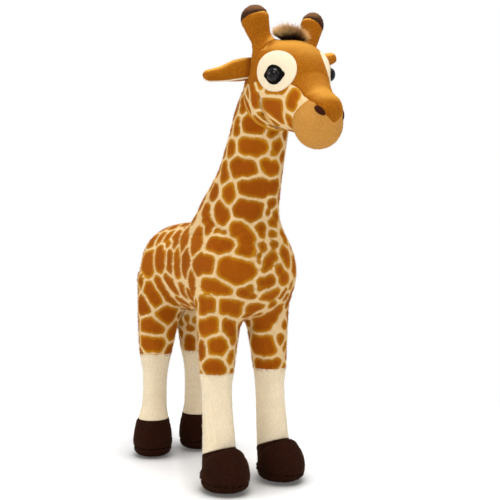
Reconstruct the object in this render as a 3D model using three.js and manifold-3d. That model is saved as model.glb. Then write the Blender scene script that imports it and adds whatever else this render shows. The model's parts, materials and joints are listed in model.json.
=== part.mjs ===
// Plush giraffe standing on four stuffed legs: printed skins over separate stuffing pieces,
// with a head that nods on the neck, ears that flap and a tail that lifts.
// Millimetres, +Z up. The toy faces -Y and +X is its own left side.
import * as THREE from 'three';
import { mergeVertices } from 'three/addons/utils/BufferGeometryUtils.js';
import Module from 'manifold-3d';

const wasm = await Module();
wasm.setup();

// Cloth and the room between pieces that are sewn or pressed together
const plushWall = 1.7;
const appliqueWall = 0.9;
const seamGap = 0.3;

// Torso
const bodyHeight = 232.5;
const bodyLength = 237;
const bodyWidth = 113;
const bodyDepth = 103.5;
const bodyCap = 14;

// Neck, measured from its root in the torso to the joint in the head
const neckRise = 171;
const neckReach = 76;
const neckWidth = 62;

// Legs: heights above the floor, then widths
const legTopHeight = 205;
const legTopCap = 20;
const soleHeight = 6;
const legWidth = 53;
const shankWidth = 32;
const frontTrack = 73;
const frontSockTop = 125;
const frontHoofHeight = 43;
const frontHoofWidth = 49.5;
const frontHoofLength = 61;
const frontHoofTilt = 22;
const hindTrack = 64.5;
const hindSockTop = 128;
const hindHoofHeight = 45;
const hindHoofWidth = 46.5;
const hindHoofLength = 49.5;
const floorCut = 0.5;

// Head, measured from the joint in the neck
const headReach = 71;
const headWidth = 80;
const headDepth = 86;
const headCap = 10;
const muzzleWidth = 47.5;
const foreheadPanelWidth = 92;
const bridgeWidth = 33;
const nodUp = 12;
const nodDown = 10;

// Horns
const hornSpread = 72;
const hornRise = 34;
const hornWidth = 28.4;
const hornTipTilt = 35;

// Ears
const earLength = 42;
const earWidth = 24;
const earThickness = 12.6;
const rightEarSweepBack = 14.5;
const leftEarSweepBack = 5;
const rightEarDroop = 9.5;
const leftEarDroop = -23;
const earBackWall = 3;
const earLiningWall = 2.2;
const earLiningTurn = 45;
const earFlap = 15;

// Safety eyes and their applique
const eyeWidth = 15.8;
const eyeBulge = 5.4;
const eyePatchWidth = 41;
const lashLength = 23;
const lashHeight = 18;
const postWidth = 3.6;
const postTail = 3;
const washerWidth = 11;
const washerWall = 1.2;

// Nose, tuft, mane and tail
const nostrilLength = 9;
const nostrilHeight = 5;
const forelockWidth = 28;
const forelockRise = 13;
const maneWidth = 5;
const maneRise = 7;
const tailLength = 108;
const tailStandOff = 16;
const tailWidth = 13;
const tuftLength = 46;
const tuftWidth = 21;
const tailLift = 60;

// Facets round a limb and along each of its steps
const bodySides = 14;
const headSides = 16;
const legSides = 10;
const hornSides = 10;
const earSides = 8;
const eyeSides = 14;
const capSteps = 2;
const socketCapSteps = 6;
const turnSteps = 4;
const domeSteps = 5;
const weldDistance = 1e-4;

// Columns: ahead (bodyLength), up (bodyDepth), half width (bodyWidth), half depth (bodyDepth)
const torsoShares = [
  [-0.443, 0.102, 0.289, 0.306],
  [-0.376, 0.062, 0.402, 0.418],
  [-0.243, 0.02, 0.429, 0.489],
  [-0.065, 0, 0.42, 0.489],
  [0.113, 0, 0.462, 0.5],
  [0.247, 0, 0.499, 0.5],
  [0.362, 0.031, 0.486, 0.479],
  [0.438, 0.071, 0.355, 0.357],
];
const neckRootShares = { ahead: 0.184, up: 0.204 };

// Columns: reach, rise, half width and half depth (neckWidth)
const neckShares = [
  [0, 0, 0.64, 1.05],
  [0.153, 0.179, 0.64, 0.935],
  [0.305, 0.327, 0.565, 0.75],
  [0.445, 0.457, 0.519, 0.621],
  [0.562, 0.587, 0.502, 0.545],
  [0.667, 0.71, 0.485, 0.494],
  [0.778, 0.84, 0.468, 0.468],
  [1, 1, 0.426, 0.426],
];

// Columns: height within the stretch, out (half track), ahead (hoof length), half width, half depth
const frontLegPlaceShare = 0.278;
const frontThighShares = [
  [1, 0.81, -0.02, 0.5, 0.517],
  [0.475, 0.896, -0.01, 0.408, 0.419],
  [0, 0.951, 0, 0.342, 0.347],
];
const frontShankShares = [
  [0.7, 0.956, 0.005, 0.494, 0.509],
  [0.22, 0.962, 0.062, 0.516, 0.565],
];
const frontHoofShares = [
  [1, 0.973, 0.138, 0.384, 0.354],
  [0.79, 0.986, 0.241, 0.458, 0.441],
  [0.435, 1, 0.311, 0.5, 0.5],
  [0.176, 1, 0.328, 0.468, 0.466],
];
const hindLegPlaceShare = -0.363;
const hindThighShares = [
  [1, 0.735, 0.128, 0.528, 0.617],
  [0.5, 0.835, 0.06, 0.457, 0.469],
  [0, 0.899, 0, 0.364, 0.368],
];
const hindShankShares = [
  [0.65, 0.907, -0.023, 0.453, 0.466],
  [0.22, 0.928, -0.038, 0.462, 0.475],
];
const hindHoofShares = [
  [1, 0.961, -0.043, 0.398, 0.384],
  [0.81, 0.983, -0.043, 0.454, 0.448],
  [0.435, 1, -0.043, 0.5, 0.5],
  [0.176, 1, -0.043, 0.477, 0.469],
];

// Columns: reach, up (headDepth), half width (headWidth), half depth (headDepth)
const headShares = [
  [0, 0.05, 0.316, 0.307],
  [0.178, 0.05, 0.435, 0.417],
  [0.446, -0.03, 0.5, 0.5],
  [0.744, -0.238, 0.449, 0.393],
  [1, -0.4, 0.356, 0.288],
];
const muzzlePlaceShares = { reach: 1.08, up: -0.534 };

// Columns: up from the joint (headDepth), half width (of the panel, then of the bridge)
const foreheadShares = [
  [0.75, 0.5],
  [0.02, 0.5],
];
const bridgeShares = [
  [-0.08, 0.6],
  [-0.2, 0.5],
  [-0.38, 0.43],
  [-0.52, 0.3],
];
const foreheadBackShare = 0.12;

// Columns: out (half hornSpread), reach (headReach), rise, half width (hornWidth)
const hornShares = [
  [0.68, 0.345, -0.5, 0.335],
  [0.808, 0.327, 0.3, 0.335],
  [0.903, 0.311, 0.657, 0.408],
  [1, 0.297, 1, 0.5],
];
const hornRootShare = 0.318;
const hornTipRimShare = 0.167;

// Columns: out (earLength), back (sweep), down (droop), half thickness, half width
const earShares = [
  [-0.12, -0.1, -0.05, 0.46, 0.48],
  [0.325, 0.35, 0.33, 0.5, 0.48],
  [0.675, 0.68, 0.75, 0.46, 0.35],
  [1, 1, 1, 0.37, 0.26],
];
const earRootShares = { out: 0.41, reach: 0.148, up: 0.172 };
const earTipRoundShare = 0.25;

// Rows: along the head, and round it in half turns
const eyePlaceShares = {
  right: { patch: [0.6, 0.17], eye: [0.64, 0.15] },
  left: { patch: [0.53, 0.2], eye: [0.54, 0.15] },
};
const nostrilWayShares = [0.54, -0.76, 0.36];
const forelockPlaceShares = { reach: 0.43, up: 0.585 };
const socketStart = 3;
const maneRunShares = { start: 0.24, end: 0.92 };
const tailSeatShare = 0.25;
const tailRootDepthShare = 0.25;
const tailTipRoundShare = 0.25;

// Columns: back (tailStandOff), down (tailLength)
const tailShares = [
  [0, 0],
  [0.62, 0.05],
  [1, 0.22],
  [1.1, 0.6],
  [1.05, 1],
];
// Columns: down (tuftLength), half width (tuftWidth)
const tuftShares = [
  [0, 0.34],
  [0.35, 0.5],
  [0.72, 0.42],
  [1, 0.2],
];

const sideAxis = new THREE.Vector3(1, 0, 0);
const upAxis = new THREE.Vector3(0, 0, 1);
const degrees = THREE.MathUtils.DEG2RAD;
const span = 2 * (bodyHeight + neckRise + bodyLength);

// A smooth curve through every row of a table, read column by column
function through(rows, place) {
  const last = rows.length - 1;
  const step = Math.min(Math.max(Math.floor(place), 0), last - 1);
  const part = place - step;
  const value = (index, column) => {
    if (index < 0) return 2 * rows[0][column] - rows[1][column];
    if (index > last) return 2 * rows[last][column] - rows[last - 1][column];
    return rows[index][column];
  };
  return rows[0].map((_, column) => {
    const [a, b, c, d] = [-1, 0, 1, 2].map((shift) => value(step + shift, column));
    const bend = (2 * a - 5 * b + 4 * c - d) * part + (3 * b - a - 3 * c + d) * part * part;
    return b + 0.5 * part * (c - a + bend);
  });
}

// The section of a limb at a place along its stations: centre, axes and half sizes
function sectionAt(limb, place) {
  const rows = limb.stations;
  const [x, y, z, wide, deep] = through(rows, place);
  const nudge = 0.01;
  const before = through(rows, Math.max(place - nudge, 0));
  const after = through(rows, Math.min(place + nudge, rows.length - 1));
  const along = new THREE.Vector3(after[0] - before[0], after[1] - before[1], after[2] - before[2]);
  along.normalize();
  const side = (limb.side ?? sideAxis).clone();
  side.addScaledVector(along, -side.dot(along)).normalize();
  const rise = new THREE.Vector3().crossVectors(along, side);
  return { centre: new THREE.Vector3(x, y, z), along, side, rise, wide, deep };
}

// Rings of one limb, its skin moved out by grow, with a rounded cap of the given length at each end
function ringsOf(limb, grow) {
  const rings = [];
  const last = limb.stations.length - 1;
  const steps = Math.round(last * (limb.stepsPerStation ?? 1));
  const capCount = (limb.capSteps ?? capSteps) + 1;
  const addCap = (place, length, direction, power) => {
    const section = sectionAt(limb, place);
    const reach = Math.max(length + grow, seamGap);
    const caps = [];
    for (let step = 1; step < capCount; step += 1) {
      const sine = Math.sin((step / capCount) * Math.PI / 2);
      const scale = (1 - sine ** power) ** (1 / power);
      const centre = section.centre.clone().addScaledVector(section.along, direction * reach * sine);
      caps.push({ ...section, centre, scale });
    }
    const tip = section.centre.clone().addScaledVector(section.along, direction * reach);
    return { caps, tip };
  };
  const start = addCap(0, limb.startCap, -1, 2);
  const end = addCap(last, limb.endCap, 1, limb.endPower ?? 2);
  if (limb.startCap > 0) rings.push(...start.caps.reverse());
  for (let step = 0; step <= steps; step += 1) {
    rings.push({ ...sectionAt(limb, (step / steps) * last), scale: 1 });
  }
  if (limb.endCap > 0) rings.push(...end.caps);
  return {
    rings,
    startTip: limb.startCap > 0 ? start.tip : rings[0].centre,
    endTip: limb.endCap > 0 ? end.tip : rings[rings.length - 1].centre,
  };
}

// A limb as one closed body of triangles
function limbGeometry(limb, grow) {
  const { rings, startTip, endTip } = ringsOf(limb, grow);
  const sides = limb.sides;
  const points = [];
  for (const ring of rings) {
    for (let corner = 0; corner < sides; corner += 1) {
      const angle = (corner / sides) * 2 * Math.PI;
      const point = ring.centre.clone();
      point.addScaledVector(ring.side, (ring.wide + grow) * ring.scale * Math.cos(angle));
      point.addScaledVector(ring.rise, (ring.deep + grow) * ring.scale * Math.sin(angle));
      points.push(point);
    }
  }
  const startIndex = points.push(startTip.clone()) - 1;
  const endIndex = points.push(endTip.clone()) - 1;
  const faces = [];
  for (let corner = 0; corner < sides; corner += 1) {
    const next = (corner + 1) % sides;
    faces.push(startIndex, next, corner);
    for (let ring = 0; ring < rings.length - 1; ring += 1) {
      const low = ring * sides;
      const high = low + sides;
      faces.push(low + corner, low + next, high + next);
      faces.push(low + corner, high + next, high + corner);
    }
    const top = (rings.length - 1) * sides;
    faces.push(endIndex, top + corner, top + next);
  }
  const geometry = new THREE.BufferGeometry().setFromPoints(points);
  geometry.setIndex(faces);
  return geometry;
}

// A closed geometry with shared corners becomes a solid that can be joined and cut
function toSolid(geometry) {
  const vertProperties = new Float32Array(geometry.attributes.position.array);
  const triVerts = new Uint32Array(geometry.index.array);
  return new wasm.Manifold(new wasm.Mesh({ numProp: 3, vertProperties, triVerts }));
}

function toGeometry(solid) {
  const mesh = solid.getMesh();
  const geometry = new THREE.BufferGeometry();
  geometry.setAttribute('position', new THREE.BufferAttribute(new Float32Array(mesh.vertProperties), 3));
  geometry.setIndex(new THREE.BufferAttribute(new Uint32Array(mesh.triVerts), 1));
  return geometry;
}

// A three.js geometry with its corners shared and its empty triangles gone
function weld(geometry) {
  const bare = new THREE.BufferGeometry().setAttribute('position', geometry.attributes.position);
  bare.setIndex(geometry.index);
  const merged = mergeVertices(bare, weldDistance);
  const corners = merged.index.array;
  const faces = [];
  for (let index = 0; index < corners.length; index += 3) {
    const [a, b, c] = corners.slice(index, index + 3);
    if (a !== b && b !== c && a !== c) faces.push(a, b, c);
  }
  merged.setIndex(faces);
  return merged;
}

const grown = (limb, grow) => toSolid(limbGeometry(limb, grow));
const skin = (limb) => grown(limb, 0).subtract(grown(limb, -plushWall));
const stuffing = (limb) => grown(limb, -plushWall - seamGap);

// The one body that stays when a cut also leaves off-cuts
function largestPart(solid) {
  const geometry = toGeometry(solid);
  const corners = geometry.index.array;
  const places = geometry.attributes.position;
  const parent = Array.from({ length: places.count }, (_, index) => index);
  const rootOf = (index) => {
    let root = index;
    while (parent[root] !== root) root = parent[root];
    parent[index] = root;
    return root;
  };
  for (let index = 0; index < corners.length; index += 3) {
    parent[rootOf(corners[index + 1])] = rootOf(corners[index]);
    parent[rootOf(corners[index + 2])] = rootOf(corners[index]);
  }
  const bodies = new Map();
  const [a, b, c] = [new THREE.Vector3(), new THREE.Vector3(), new THREE.Vector3()];
  for (let index = 0; index < corners.length; index += 3) {
    const root = rootOf(corners[index]);
    if (!bodies.has(root)) bodies.set(root, { faces: [], volume: 0 });
    a.fromBufferAttribute(places, corners[index]);
    b.fromBufferAttribute(places, corners[index + 1]);
    c.fromBufferAttribute(places, corners[index + 2]);
    bodies.get(root).volume += a.dot(b.cross(c));
    bodies.get(root).faces.push(...corners.slice(index, index + 3));
  }
  const [largest] = [...bodies.values()].sort((first, second) => second.volume - first.volume);
  geometry.setIndex(largest.faces);
  return geometry;
}

// The half of space beyond a plane
function beyond(point, direction) {
  const block = new THREE.BoxGeometry(span, span, span);
  block.translate(0, 0, span / 2);
  block.applyQuaternion(new THREE.Quaternion().setFromUnitVectors(upAxis, direction.clone().normalize()));
  block.translate(point.x, point.y, point.z);
  return toSolid(weld(block));
}
const above = (height) => beyond(new THREE.Vector3(0, 0, height), upAxis);
const below = (height) => beyond(new THREE.Vector3(0, 0, height), upAxis.clone().negate());

function ball(centre, halves, grow) {
  const geometry = new THREE.SphereGeometry(1, legSides, legSides / 2);
  geometry.scale(halves.x + grow, halves.y + grow, halves.z + grow);
  geometry.translate(centre.x, centre.y, centre.z);
  return toSolid(weld(geometry));
}

// All the room that a fixed neighbour takes, seen from a piece that turns on a hinge between limits
function roomFor(fixed, hinge, low, high) {
  let room = fixed;
  for (let step = 0; step < turnSteps; step += 1) {
    const angle = -(low + ((high - low) * step) / (turnSteps - 1)) * degrees;
    const geometry = toGeometry(fixed);
    geometry.translate(-hinge.place.x, -hinge.place.y, -hinge.place.z);
    geometry.applyMatrix4(new THREE.Matrix4().makeRotationAxis(hinge.axis, angle));
    geometry.translate(hinge.place.x, hinge.place.y, hinge.place.z);
    room = room.add(toSolid(geometry));
  }
  return room;
}

// The place where a line from inside a limb meets its skin, with a frame whose Y axis points out
function skinFrame(limb, place, angle) {
  const section = sectionAt(limb, place);
  const way = section.side.clone().multiplyScalar(Math.cos(angle));
  way.addScaledVector(section.rise, Math.sin(angle)).normalize();
  return skinAlong(limb, section.centre, way);
}

function skinAlong(limb, from, way) {
  const body = new THREE.Mesh(limbGeometry(limb, 0), new THREE.MeshBasicMaterial({ side: THREE.DoubleSide }));
  const [hit] = new THREE.Raycaster(from, way.normalize()).intersectObject(body);
  return frameOf(hit.point, hit.face.normal);
}

function frameOf(point, outward) {
  const normal = outward.clone().normalize();
  const level = new THREE.Vector3().crossVectors(upAxis, normal).normalize();
  const rise = new THREE.Vector3().crossVectors(level, normal);
  return { point, normal, matrix: new THREE.Matrix4().makeBasis(level, normal, rise).setPosition(point) };
}

// An oval plug through the skin, from one depth to another along the frame's Y axis
function plug(frame, width, height, low, high) {
  const geometry = new THREE.CylinderGeometry(0.5, 0.5, high - low, eyeSides);
  geometry.scale(width, 1, height);
  geometry.translate(0, (high + low) / 2, 0);
  geometry.applyMatrix4(frame.matrix);
  return toSolid(weld(geometry));
}

function turnedProfile(frame, profile) {
  const points = profile.map(([radius, height]) => new THREE.Vector2(radius, height));
  const geometry = new THREE.LatheGeometry(points, eyeSides);
  geometry.applyMatrix4(frame.matrix);
  return toSolid(weld(geometry));
}

const look = (color, roughness) => new THREE.MeshStandardMaterial({ color, roughness, metalness: 0 });
const materials = {
  printed: look('#a8620f', 0.95),
  golden: look('#c98a2e', 0.95),
  cream: look('#efe3c8', 0.95),
  tan: look('#d2a367', 0.95),
  dark: look('#2c2018', 0.95),
  tuft: look('#4a2c18', 1),
  felt: look('#120d0b', 0.9),
  glossy: look('#0c0b0b', 0.08),
  washer: look('#e8e8e4', 0.5),
  fibre: look('#f4f4f2', 1),
};

const toy = new THREE.Group();
function add(name, solid, material) {
  const geometry = largestPart(solid);
  geometry.computeVertexNormals();
  const mesh = new THREE.Mesh(geometry, material);
  mesh.name = name;
  toy.add(mesh);
}

// The forms that the skins and their stuffing share
const torso = {
  sides: bodySides,
  stepsPerStation: 1.2,
  startCap: bodyCap,
  endCap: bodyCap,
  stations: torsoShares.map(([ahead, up, wide, deep]) => [
    0, -ahead * bodyLength, bodyHeight + up * bodyDepth, wide * bodyWidth, deep * bodyDepth,
  ]),
};

const neckRoot = {
  y: -neckRootShares.ahead * bodyLength,
  z: bodyHeight + neckRootShares.up * bodyDepth,
};
const neck = {
  sides: bodySides,
  stepsPerStation: 1,
  startCap: 0,
  endCap: neckShares[neckShares.length - 1][3] * neckWidth,
  stations: neckShares.map(([reach, rise, wide, deep]) => [
    0, neckRoot.y - reach * neckReach, neckRoot.z + rise * neckRise, wide * neckWidth, deep * neckWidth,
  ]),
};
const nod = { place: new THREE.Vector3(0, neckRoot.y - neckReach, neckRoot.z + neckRise), axis: sideAxis };

const head = {
  sides: headSides,
  stepsPerStation: 1.5,
  startCap: headCap,
  endCap: headCap,
  stations: headShares.map(([reach, up, wide, deep]) => [
    0, nod.place.y - reach * headReach, nod.place.z + up * headDepth, wide * headWidth, deep * headDepth,
  ]),
};
const muzzlePlace = new THREE.Vector3(
  0,
  nod.place.y - muzzlePlaceShares.reach * headReach,
  nod.place.z + muzzlePlaceShares.up * headDepth,
);
const muzzleHalves = new THREE.Vector3(1, 1, 1).multiplyScalar(muzzleWidth / 2);
const muzzle = (grow) => ball(muzzlePlace, muzzleHalves, grow);

function legStations(leg, side) {
  const halfTrack = leg.track / 2;
  const stretch = (shares, low, high, wideSize, deepSize) => shares.map(([up, out, ahead, wide, deep]) => [
    side * out * halfTrack,
    -leg.placeShare * bodyLength - ahead * leg.hoofLength,
    low + up * (high - low),
    wide * wideSize,
    deep * deepSize,
  ]);
  return [
    ...stretch(leg.thighShares, leg.sockTop, legTopHeight, legWidth, legWidth),
    ...stretch(leg.shankShares, leg.hoofHeight, leg.sockTop, shankWidth, shankWidth),
    ...stretch(leg.hoofShares, 0, leg.hoofHeight, leg.hoofWidth, leg.hoofLength),
  ];
}

function buildTorso(limbs) {
  let cover = skin(torso).subtract(grown(neck, -plushWall));
  for (const limb of limbs) cover = cover.subtract(grown(limb, -plushWall));
  add('torso_cover', cover, materials.printed);
  add('torso_fill', stuffing(torso), materials.fibre);
}

// The strip of long pile that stands along the back of the neck
function maneSolid(grow) {
  const count = neckShares.length;
  const stations = [];
  for (let step = 0; step < count; step += 1) {
    const run = maneRunShares.start + ((maneRunShares.end - maneRunShares.start) * step) / (count - 1);
    const section = sectionAt(neck, run * (count - 1));
    const ridge = section.centre.clone().addScaledVector(section.rise, section.deep);
    stations.push([0, ridge.y, ridge.z, maneWidth / 2, maneRise]);
  }
  return grown({ sides: legSides / 2, startCap: maneRise, endCap: maneRise, stations }, grow);
}

function buildNeck() {
  const outside = grown(torso, seamGap);
  add('neck_cover', skin(neck).subtract(outside), materials.printed);
  add('neck_fill', stuffing(neck).subtract(grown(torso, -plushWall)), materials.fibre);
  add('mane', maneSolid(0).subtract(grown(neck, seamGap)).subtract(outside), materials.tuft);
}

function buildLeg({ name, leg, side, limb }) {
  const ankleRow = leg.thighShares.length + leg.shankShares.length;
  const [x, y, z] = limb.stations[ankleRow];
  const tilt = leg.hoofTilt * degrees;
  const slope = new THREE.Vector3(0, Math.sin(tilt), Math.cos(tilt));
  const seam = (way) => new THREE.Vector3(x, y, z).addScaledVector(slope, (way * seamGap) / 2);
  const middle = sideAxis.clone().multiplyScalar((side * seamGap) / 2);
  const ownSide = beyond(middle, sideAxis.clone().multiplyScalar(side));
  const skinned = skin(limb).intersect(ownSide);
  const cover = skinned.intersect(above(leg.sockTop + seamGap / 2)).subtract(grown(torso, seamGap));
  const sock = skinned.intersect(below(leg.sockTop - seamGap / 2)).intersect(beyond(seam(1), slope));
  const hoof = skinned.intersect(beyond(seam(-1), slope.clone().negate()));
  const sole = grown(limb, 0).intersect(above(0)).intersect(below(soleHeight));
  const fill = stuffing(limb).intersect(ownSide).intersect(above(soleHeight + seamGap));
  add(`${name}_leg_cover`, cover, materials.printed);
  add(`${name}_sock`, sock, materials.cream);
  add(`${name}_hoof`, hoof.intersect(above(soleHeight + seamGap)), materials.dark);
  add(`${name}_sole`, sole, materials.dark);
  add(`${name}_leg_fill`, fill.subtract(grown(torso, -plushWall)), materials.fibre);
}

// The outline of the plain panel from the crown to the nose, cut straight back through the face
function facePanel(grow) {
  const side = [
    ...foreheadShares.map(([up, half]) => [half * foreheadPanelWidth, up]),
    ...bridgeShares.map(([up, half]) => [half * bridgeWidth, up]),
  ].map(([half, up]) => new THREE.Vector2(half + grow, nod.place.z + up * headDepth));
  side[side.length - 1].y -= grow;
  const mirrored = side.map((point) => new THREE.Vector2(-point.x, point.y)).reverse();
  const depth = headReach + muzzleWidth;
  const outline = new THREE.Shape([...side, ...mirrored]);
  const geometry = new THREE.ExtrudeGeometry(outline, { depth, bevelEnabled: false });
  geometry.rotateX(Math.PI / 2);
  geometry.translate(0, nod.place.y - foreheadBackShare * headReach + grow, 0);
  return toSolid(weld(geometry));
}

// How far the inside of the skin dips below a frame, at most, over the rim of a disc
function wallDip(limb, frame, width) {
  const inside = new THREE.MeshBasicMaterial({ side: THREE.DoubleSide });
  const wall = new THREE.Mesh(limbGeometry(limb, -plushWall), inside);
  const dips = Array.from({ length: eyeSides }, (_, step) => {
    const turn = (step / eyeSides) * 2 * Math.PI;
    const rim = new THREE.Vector3((width / 2) * Math.cos(turn), -width, (width / 2) * Math.sin(turn));
    const [hit] = new THREE.Raycaster(rim.applyMatrix4(frame.matrix), frame.normal).intersectObject(wall);
    return width - hit.distance;
  });
  return Math.max(...dips);
}

function buildEye(name, side, patchFrame, frame) {
  const place = (level) => level * seamGap + (level - 1) * appliqueWall;
  const layer = (level) => grown(head, place(level) + appliqueWall).subtract(grown(head, place(level)));
  const reach = eyePatchWidth / 2;
  const post = postWidth / 2;
  const hole = plug(frame, postWidth + 2 * seamGap, postWidth + 2 * seamGap, -reach, reach);
  const round = layer(1).intersect(plug(patchFrame, eyePatchWidth, eyePatchWidth, -reach, reach));
  const patch = round.subtract(grown(hornLimb(side), seamGap));
  const lash = layer(2).intersect(plug(frame, lashLength, lashHeight, -reach, reach));
  const washerFace = -wallDip(head, frame, washerWidth) - seamGap;
  const postEnd = washerFace - washerWall - postTail;
  const dome = Array.from({ length: domeSteps + 1 }, (_, step) => {
    const turn = (step / domeSteps) * Math.PI / 2;
    return [(eyeWidth / 2) * Math.cos(turn), place(3) + eyeBulge * Math.sin(turn)];
  });
  dome[dome.length - 1][0] = 0;
  const profile = [[0, postEnd], [post, postEnd], [post, place(3)], ...dome];
  const washer = [
    [post + seamGap, washerFace - washerWall],
    [washerWidth / 2, washerFace - washerWall],
    [washerWidth / 2, washerFace],
    [post + seamGap, washerFace],
    [post + seamGap, washerFace - washerWall],
  ];
  add(`${name}_patch`, patch.subtract(hole), materials.cream);
  add(`${name}_lash`, lash.subtract(hole), materials.felt);
  add(name, turnedProfile(frame, profile), materials.glossy);
  add(`${name}_washer`, turnedProfile(frame, washer), materials.washer);
  const pocketWidth = washerWidth + 2 * seamGap;
  return { hole, pocket: plug(frame, pocketWidth, pocketWidth, postEnd - seamGap, reach) };
}

// The hollow that the head keeps round the top of the neck: its flats stay outside the neck's corners,
// and it is widened by what the nod needs
function neckSocket() {
  const turn = Math.max(nodUp, nodDown) * degrees;
  const cornerRoom = 1 / Math.cos(Math.PI / bodySides);
  const stations = neck.stations.slice(socketStart).map(([x, y, z, wide, deep]) => {
    const reach = Math.hypot(y - nod.place.y, z - nod.place.z);
    const widest = (wide * cornerRoom) / Math.cos(turn);
    return [x, y, z, widest, deep * cornerRoom + reach * Math.sin(turn)];
  });
  return { ...neck, capSteps: socketCapSteps, endCap: neck.endCap * cornerRoom, stations };
}

function buildHead() {
  const last = head.stations.length - 1;
  const eyes = [['right', -1, Math.PI], ['left', 1, 0]].map(([word, side, from]) => {
    const seat = ([run, turn]) => skinFrame(head, run * last, from + side * turn * Math.PI);
    return buildEye(`eye_${word}`, side, seat(eyePlaceShares[word].patch), seat(eyePlaceShares[word].eye));
  });
  const neckRoom = grown(neckSocket(), seamGap);
  const shell = skin(head).subtract(neckRoom);
  let cover = shell.subtract(facePanel(seamGap)).subtract(muzzle(-plushWall));
  let panel = grown(head, 0).add(muzzle(0)).subtract(grown(head, -plushWall)).subtract(muzzle(-plushWall));
  panel = panel.intersect(facePanel(0)).subtract(neckRoom);
  let fill = stuffing(head).subtract(neckRoom);
  for (const eye of eyes) {
    cover = cover.subtract(eye.hole);
    panel = panel.subtract(eye.hole);
    fill = fill.subtract(eye.pocket);
  }
  const muzzleCover = muzzle(0).subtract(muzzle(-plushWall)).subtract(grown(head, seamGap));
  add('head_cover', cover, materials.printed);
  add('head_fill', fill, materials.fibre);
  add('face_panel', panel, materials.golden);
  add('muzzle_cover', muzzleCover.subtract(facePanel(seamGap)), materials.tan);
  add('muzzle_fill', muzzle(-plushWall - seamGap).subtract(grown(head, -plushWall)), materials.fibre);
  const forelockPlace = new THREE.Vector3(
    0,
    nod.place.y - forelockPlaceShares.reach * headReach,
    nod.place.z + forelockPlaceShares.up * headDepth,
  );
  const forelockHalves = new THREE.Vector3(forelockWidth / 2, forelockRise, forelockRise);
  add('forelock', ball(forelockPlace, forelockHalves, 0).subtract(grown(head, seamGap)), materials.tuft);
}

function buildNostril(name, side) {
  const [out, back, up] = nostrilWayShares;
  const way = new THREE.Vector3(side * out, back, up).normalize();
  const frame = frameOf(muzzlePlace.clone().addScaledVector(way, muzzleWidth / 2), way);
  const snout = (grow) => muzzle(grow).add(grown(head, grow));
  const pad = snout(seamGap + appliqueWall).subtract(snout(seamGap));
  const oval = plug(frame, nostrilLength, nostrilHeight, -nostrilLength, nostrilLength);
  add(name, pad.intersect(oval), materials.dark);
}

const hornLimb = (side) => ({
  sides: hornSides,
  stepsPerStation: 1.4,
  startCap: 0,
  endCap: hornWidth / 2,
  stations: hornShares.map(([out, reach, rise, half]) => [
    (side * out * hornSpread) / 2,
    nod.place.y - reach * headReach,
    nod.place.z + hornRootShare * headDepth + rise * hornRise,
    half * hornWidth,
    half * hornWidth,
  ]),
});

function buildHorn(name, side) {
  const limb = hornLimb(side);
  const tilt = hornTipTilt * degrees;
  const way = new THREE.Vector3(side * Math.sin(tilt), 0, Math.cos(tilt));
  const centre = new THREE.Vector3(...limb.stations[limb.stations.length - 1]);
  const rim = centre.clone().addScaledVector(way, hornTipRimShare * hornWidth);
  const skinned = skin(limb).subtract(grown(head, seamGap));
  add(`${name}_cover`, skinned.intersect(beyond(rim, way.clone().negate())), materials.golden);
  rim.addScaledVector(way, seamGap);
  add(`${name}_tip`, skinned.intersect(beyond(rim, way)), materials.tuft);
  add(`${name}_fill`, stuffing(limb).subtract(grown(head, seamGap)), materials.fibre);
}

// An ear is one leaf form: a golden skin above and in front, and the cream lining under and behind it
function buildEar(name, side, droop, sweep) {
  const root = new THREE.Vector3(
    side * earRootShares.out * headWidth,
    nod.place.y - earRootShares.reach * headReach,
    nod.place.z + earRootShares.up * headDepth,
  );
  const turn = earLiningTurn * degrees;
  const leaf = (inward) => grown({
    sides: earSides,
    stepsPerStation: 1.4,
    startCap: 0,
    endCap: earTipRoundShare * earWidth,
    side: new THREE.Vector3(side * sweep, earLength, 0),
    stations: earShares.map(([out, back, down, thick, wide]) => [
      root.x + side * out * earLength,
      root.y + back * sweep + inward * Math.cos(turn),
      root.z - down * droop - inward * Math.sin(turn),
      thick * earThickness,
      wide * earWidth,
    ]),
  }, 0);
  const axis = new THREE.Vector3(-side * sweep, earLength, 0).normalize();
  const beside = grown(head, seamGap).add(grown(hornLimb(side), seamGap));
  const whole = leaf(0).subtract(roomFor(beside, { place: root, axis }, -earFlap, earFlap));
  const lining = whole.intersect(leaf(earBackWall)).intersect(leaf(earBackWall + seamGap));
  add(`${name}_back`, whole.subtract(leaf(earBackWall)), materials.golden);
  add(`${name}_lining`, lining.subtract(leaf(earBackWall + seamGap + earLiningWall)), materials.cream);
}

function buildTail() {
  const rump = sectionAt(torso, 0);
  const turn = tailSeatShare * Math.PI;
  const way = rump.along.clone().multiplyScalar(-Math.sin(turn)).addScaledVector(rump.rise, Math.cos(turn));
  const seat = skinAlong(torso, rump.centre, way);
  const place = seat.point.clone().addScaledVector(seat.normal, tailRootDepthShare * tailWidth);
  const hinge = { place, axis: sideAxis };
  const rows = tailShares.map(([back, down]) => [
    0,
    hinge.place.y + back * tailStandOff,
    hinge.place.z - down * tailLength,
    tailWidth / 2,
    tailWidth / 2,
  ]);
  const [, endY, endZ] = rows.pop();
  const tuftRows = tuftShares.map(([down, half]) => [
    0, endY, endZ - down * tuftLength, half * tuftWidth, half * tuftWidth,
  ]);
  const limb = {
    sides: hornSides,
    stepsPerStation: 1.4,
    startCap: tailWidth / 2,
    endCap: tailTipRoundShare * tailWidth,
    stations: [...rows, ...tuftRows],
  };
  const whole = grown(limb, 0).subtract(roomFor(grown(torso, seamGap), hinge, 0, tailLift));
  add('tail_cover', whole.intersect(above(endZ)), materials.printed);
  add('tail_tuft', whole.intersect(below(endZ - seamGap)), materials.tuft);
}

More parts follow.
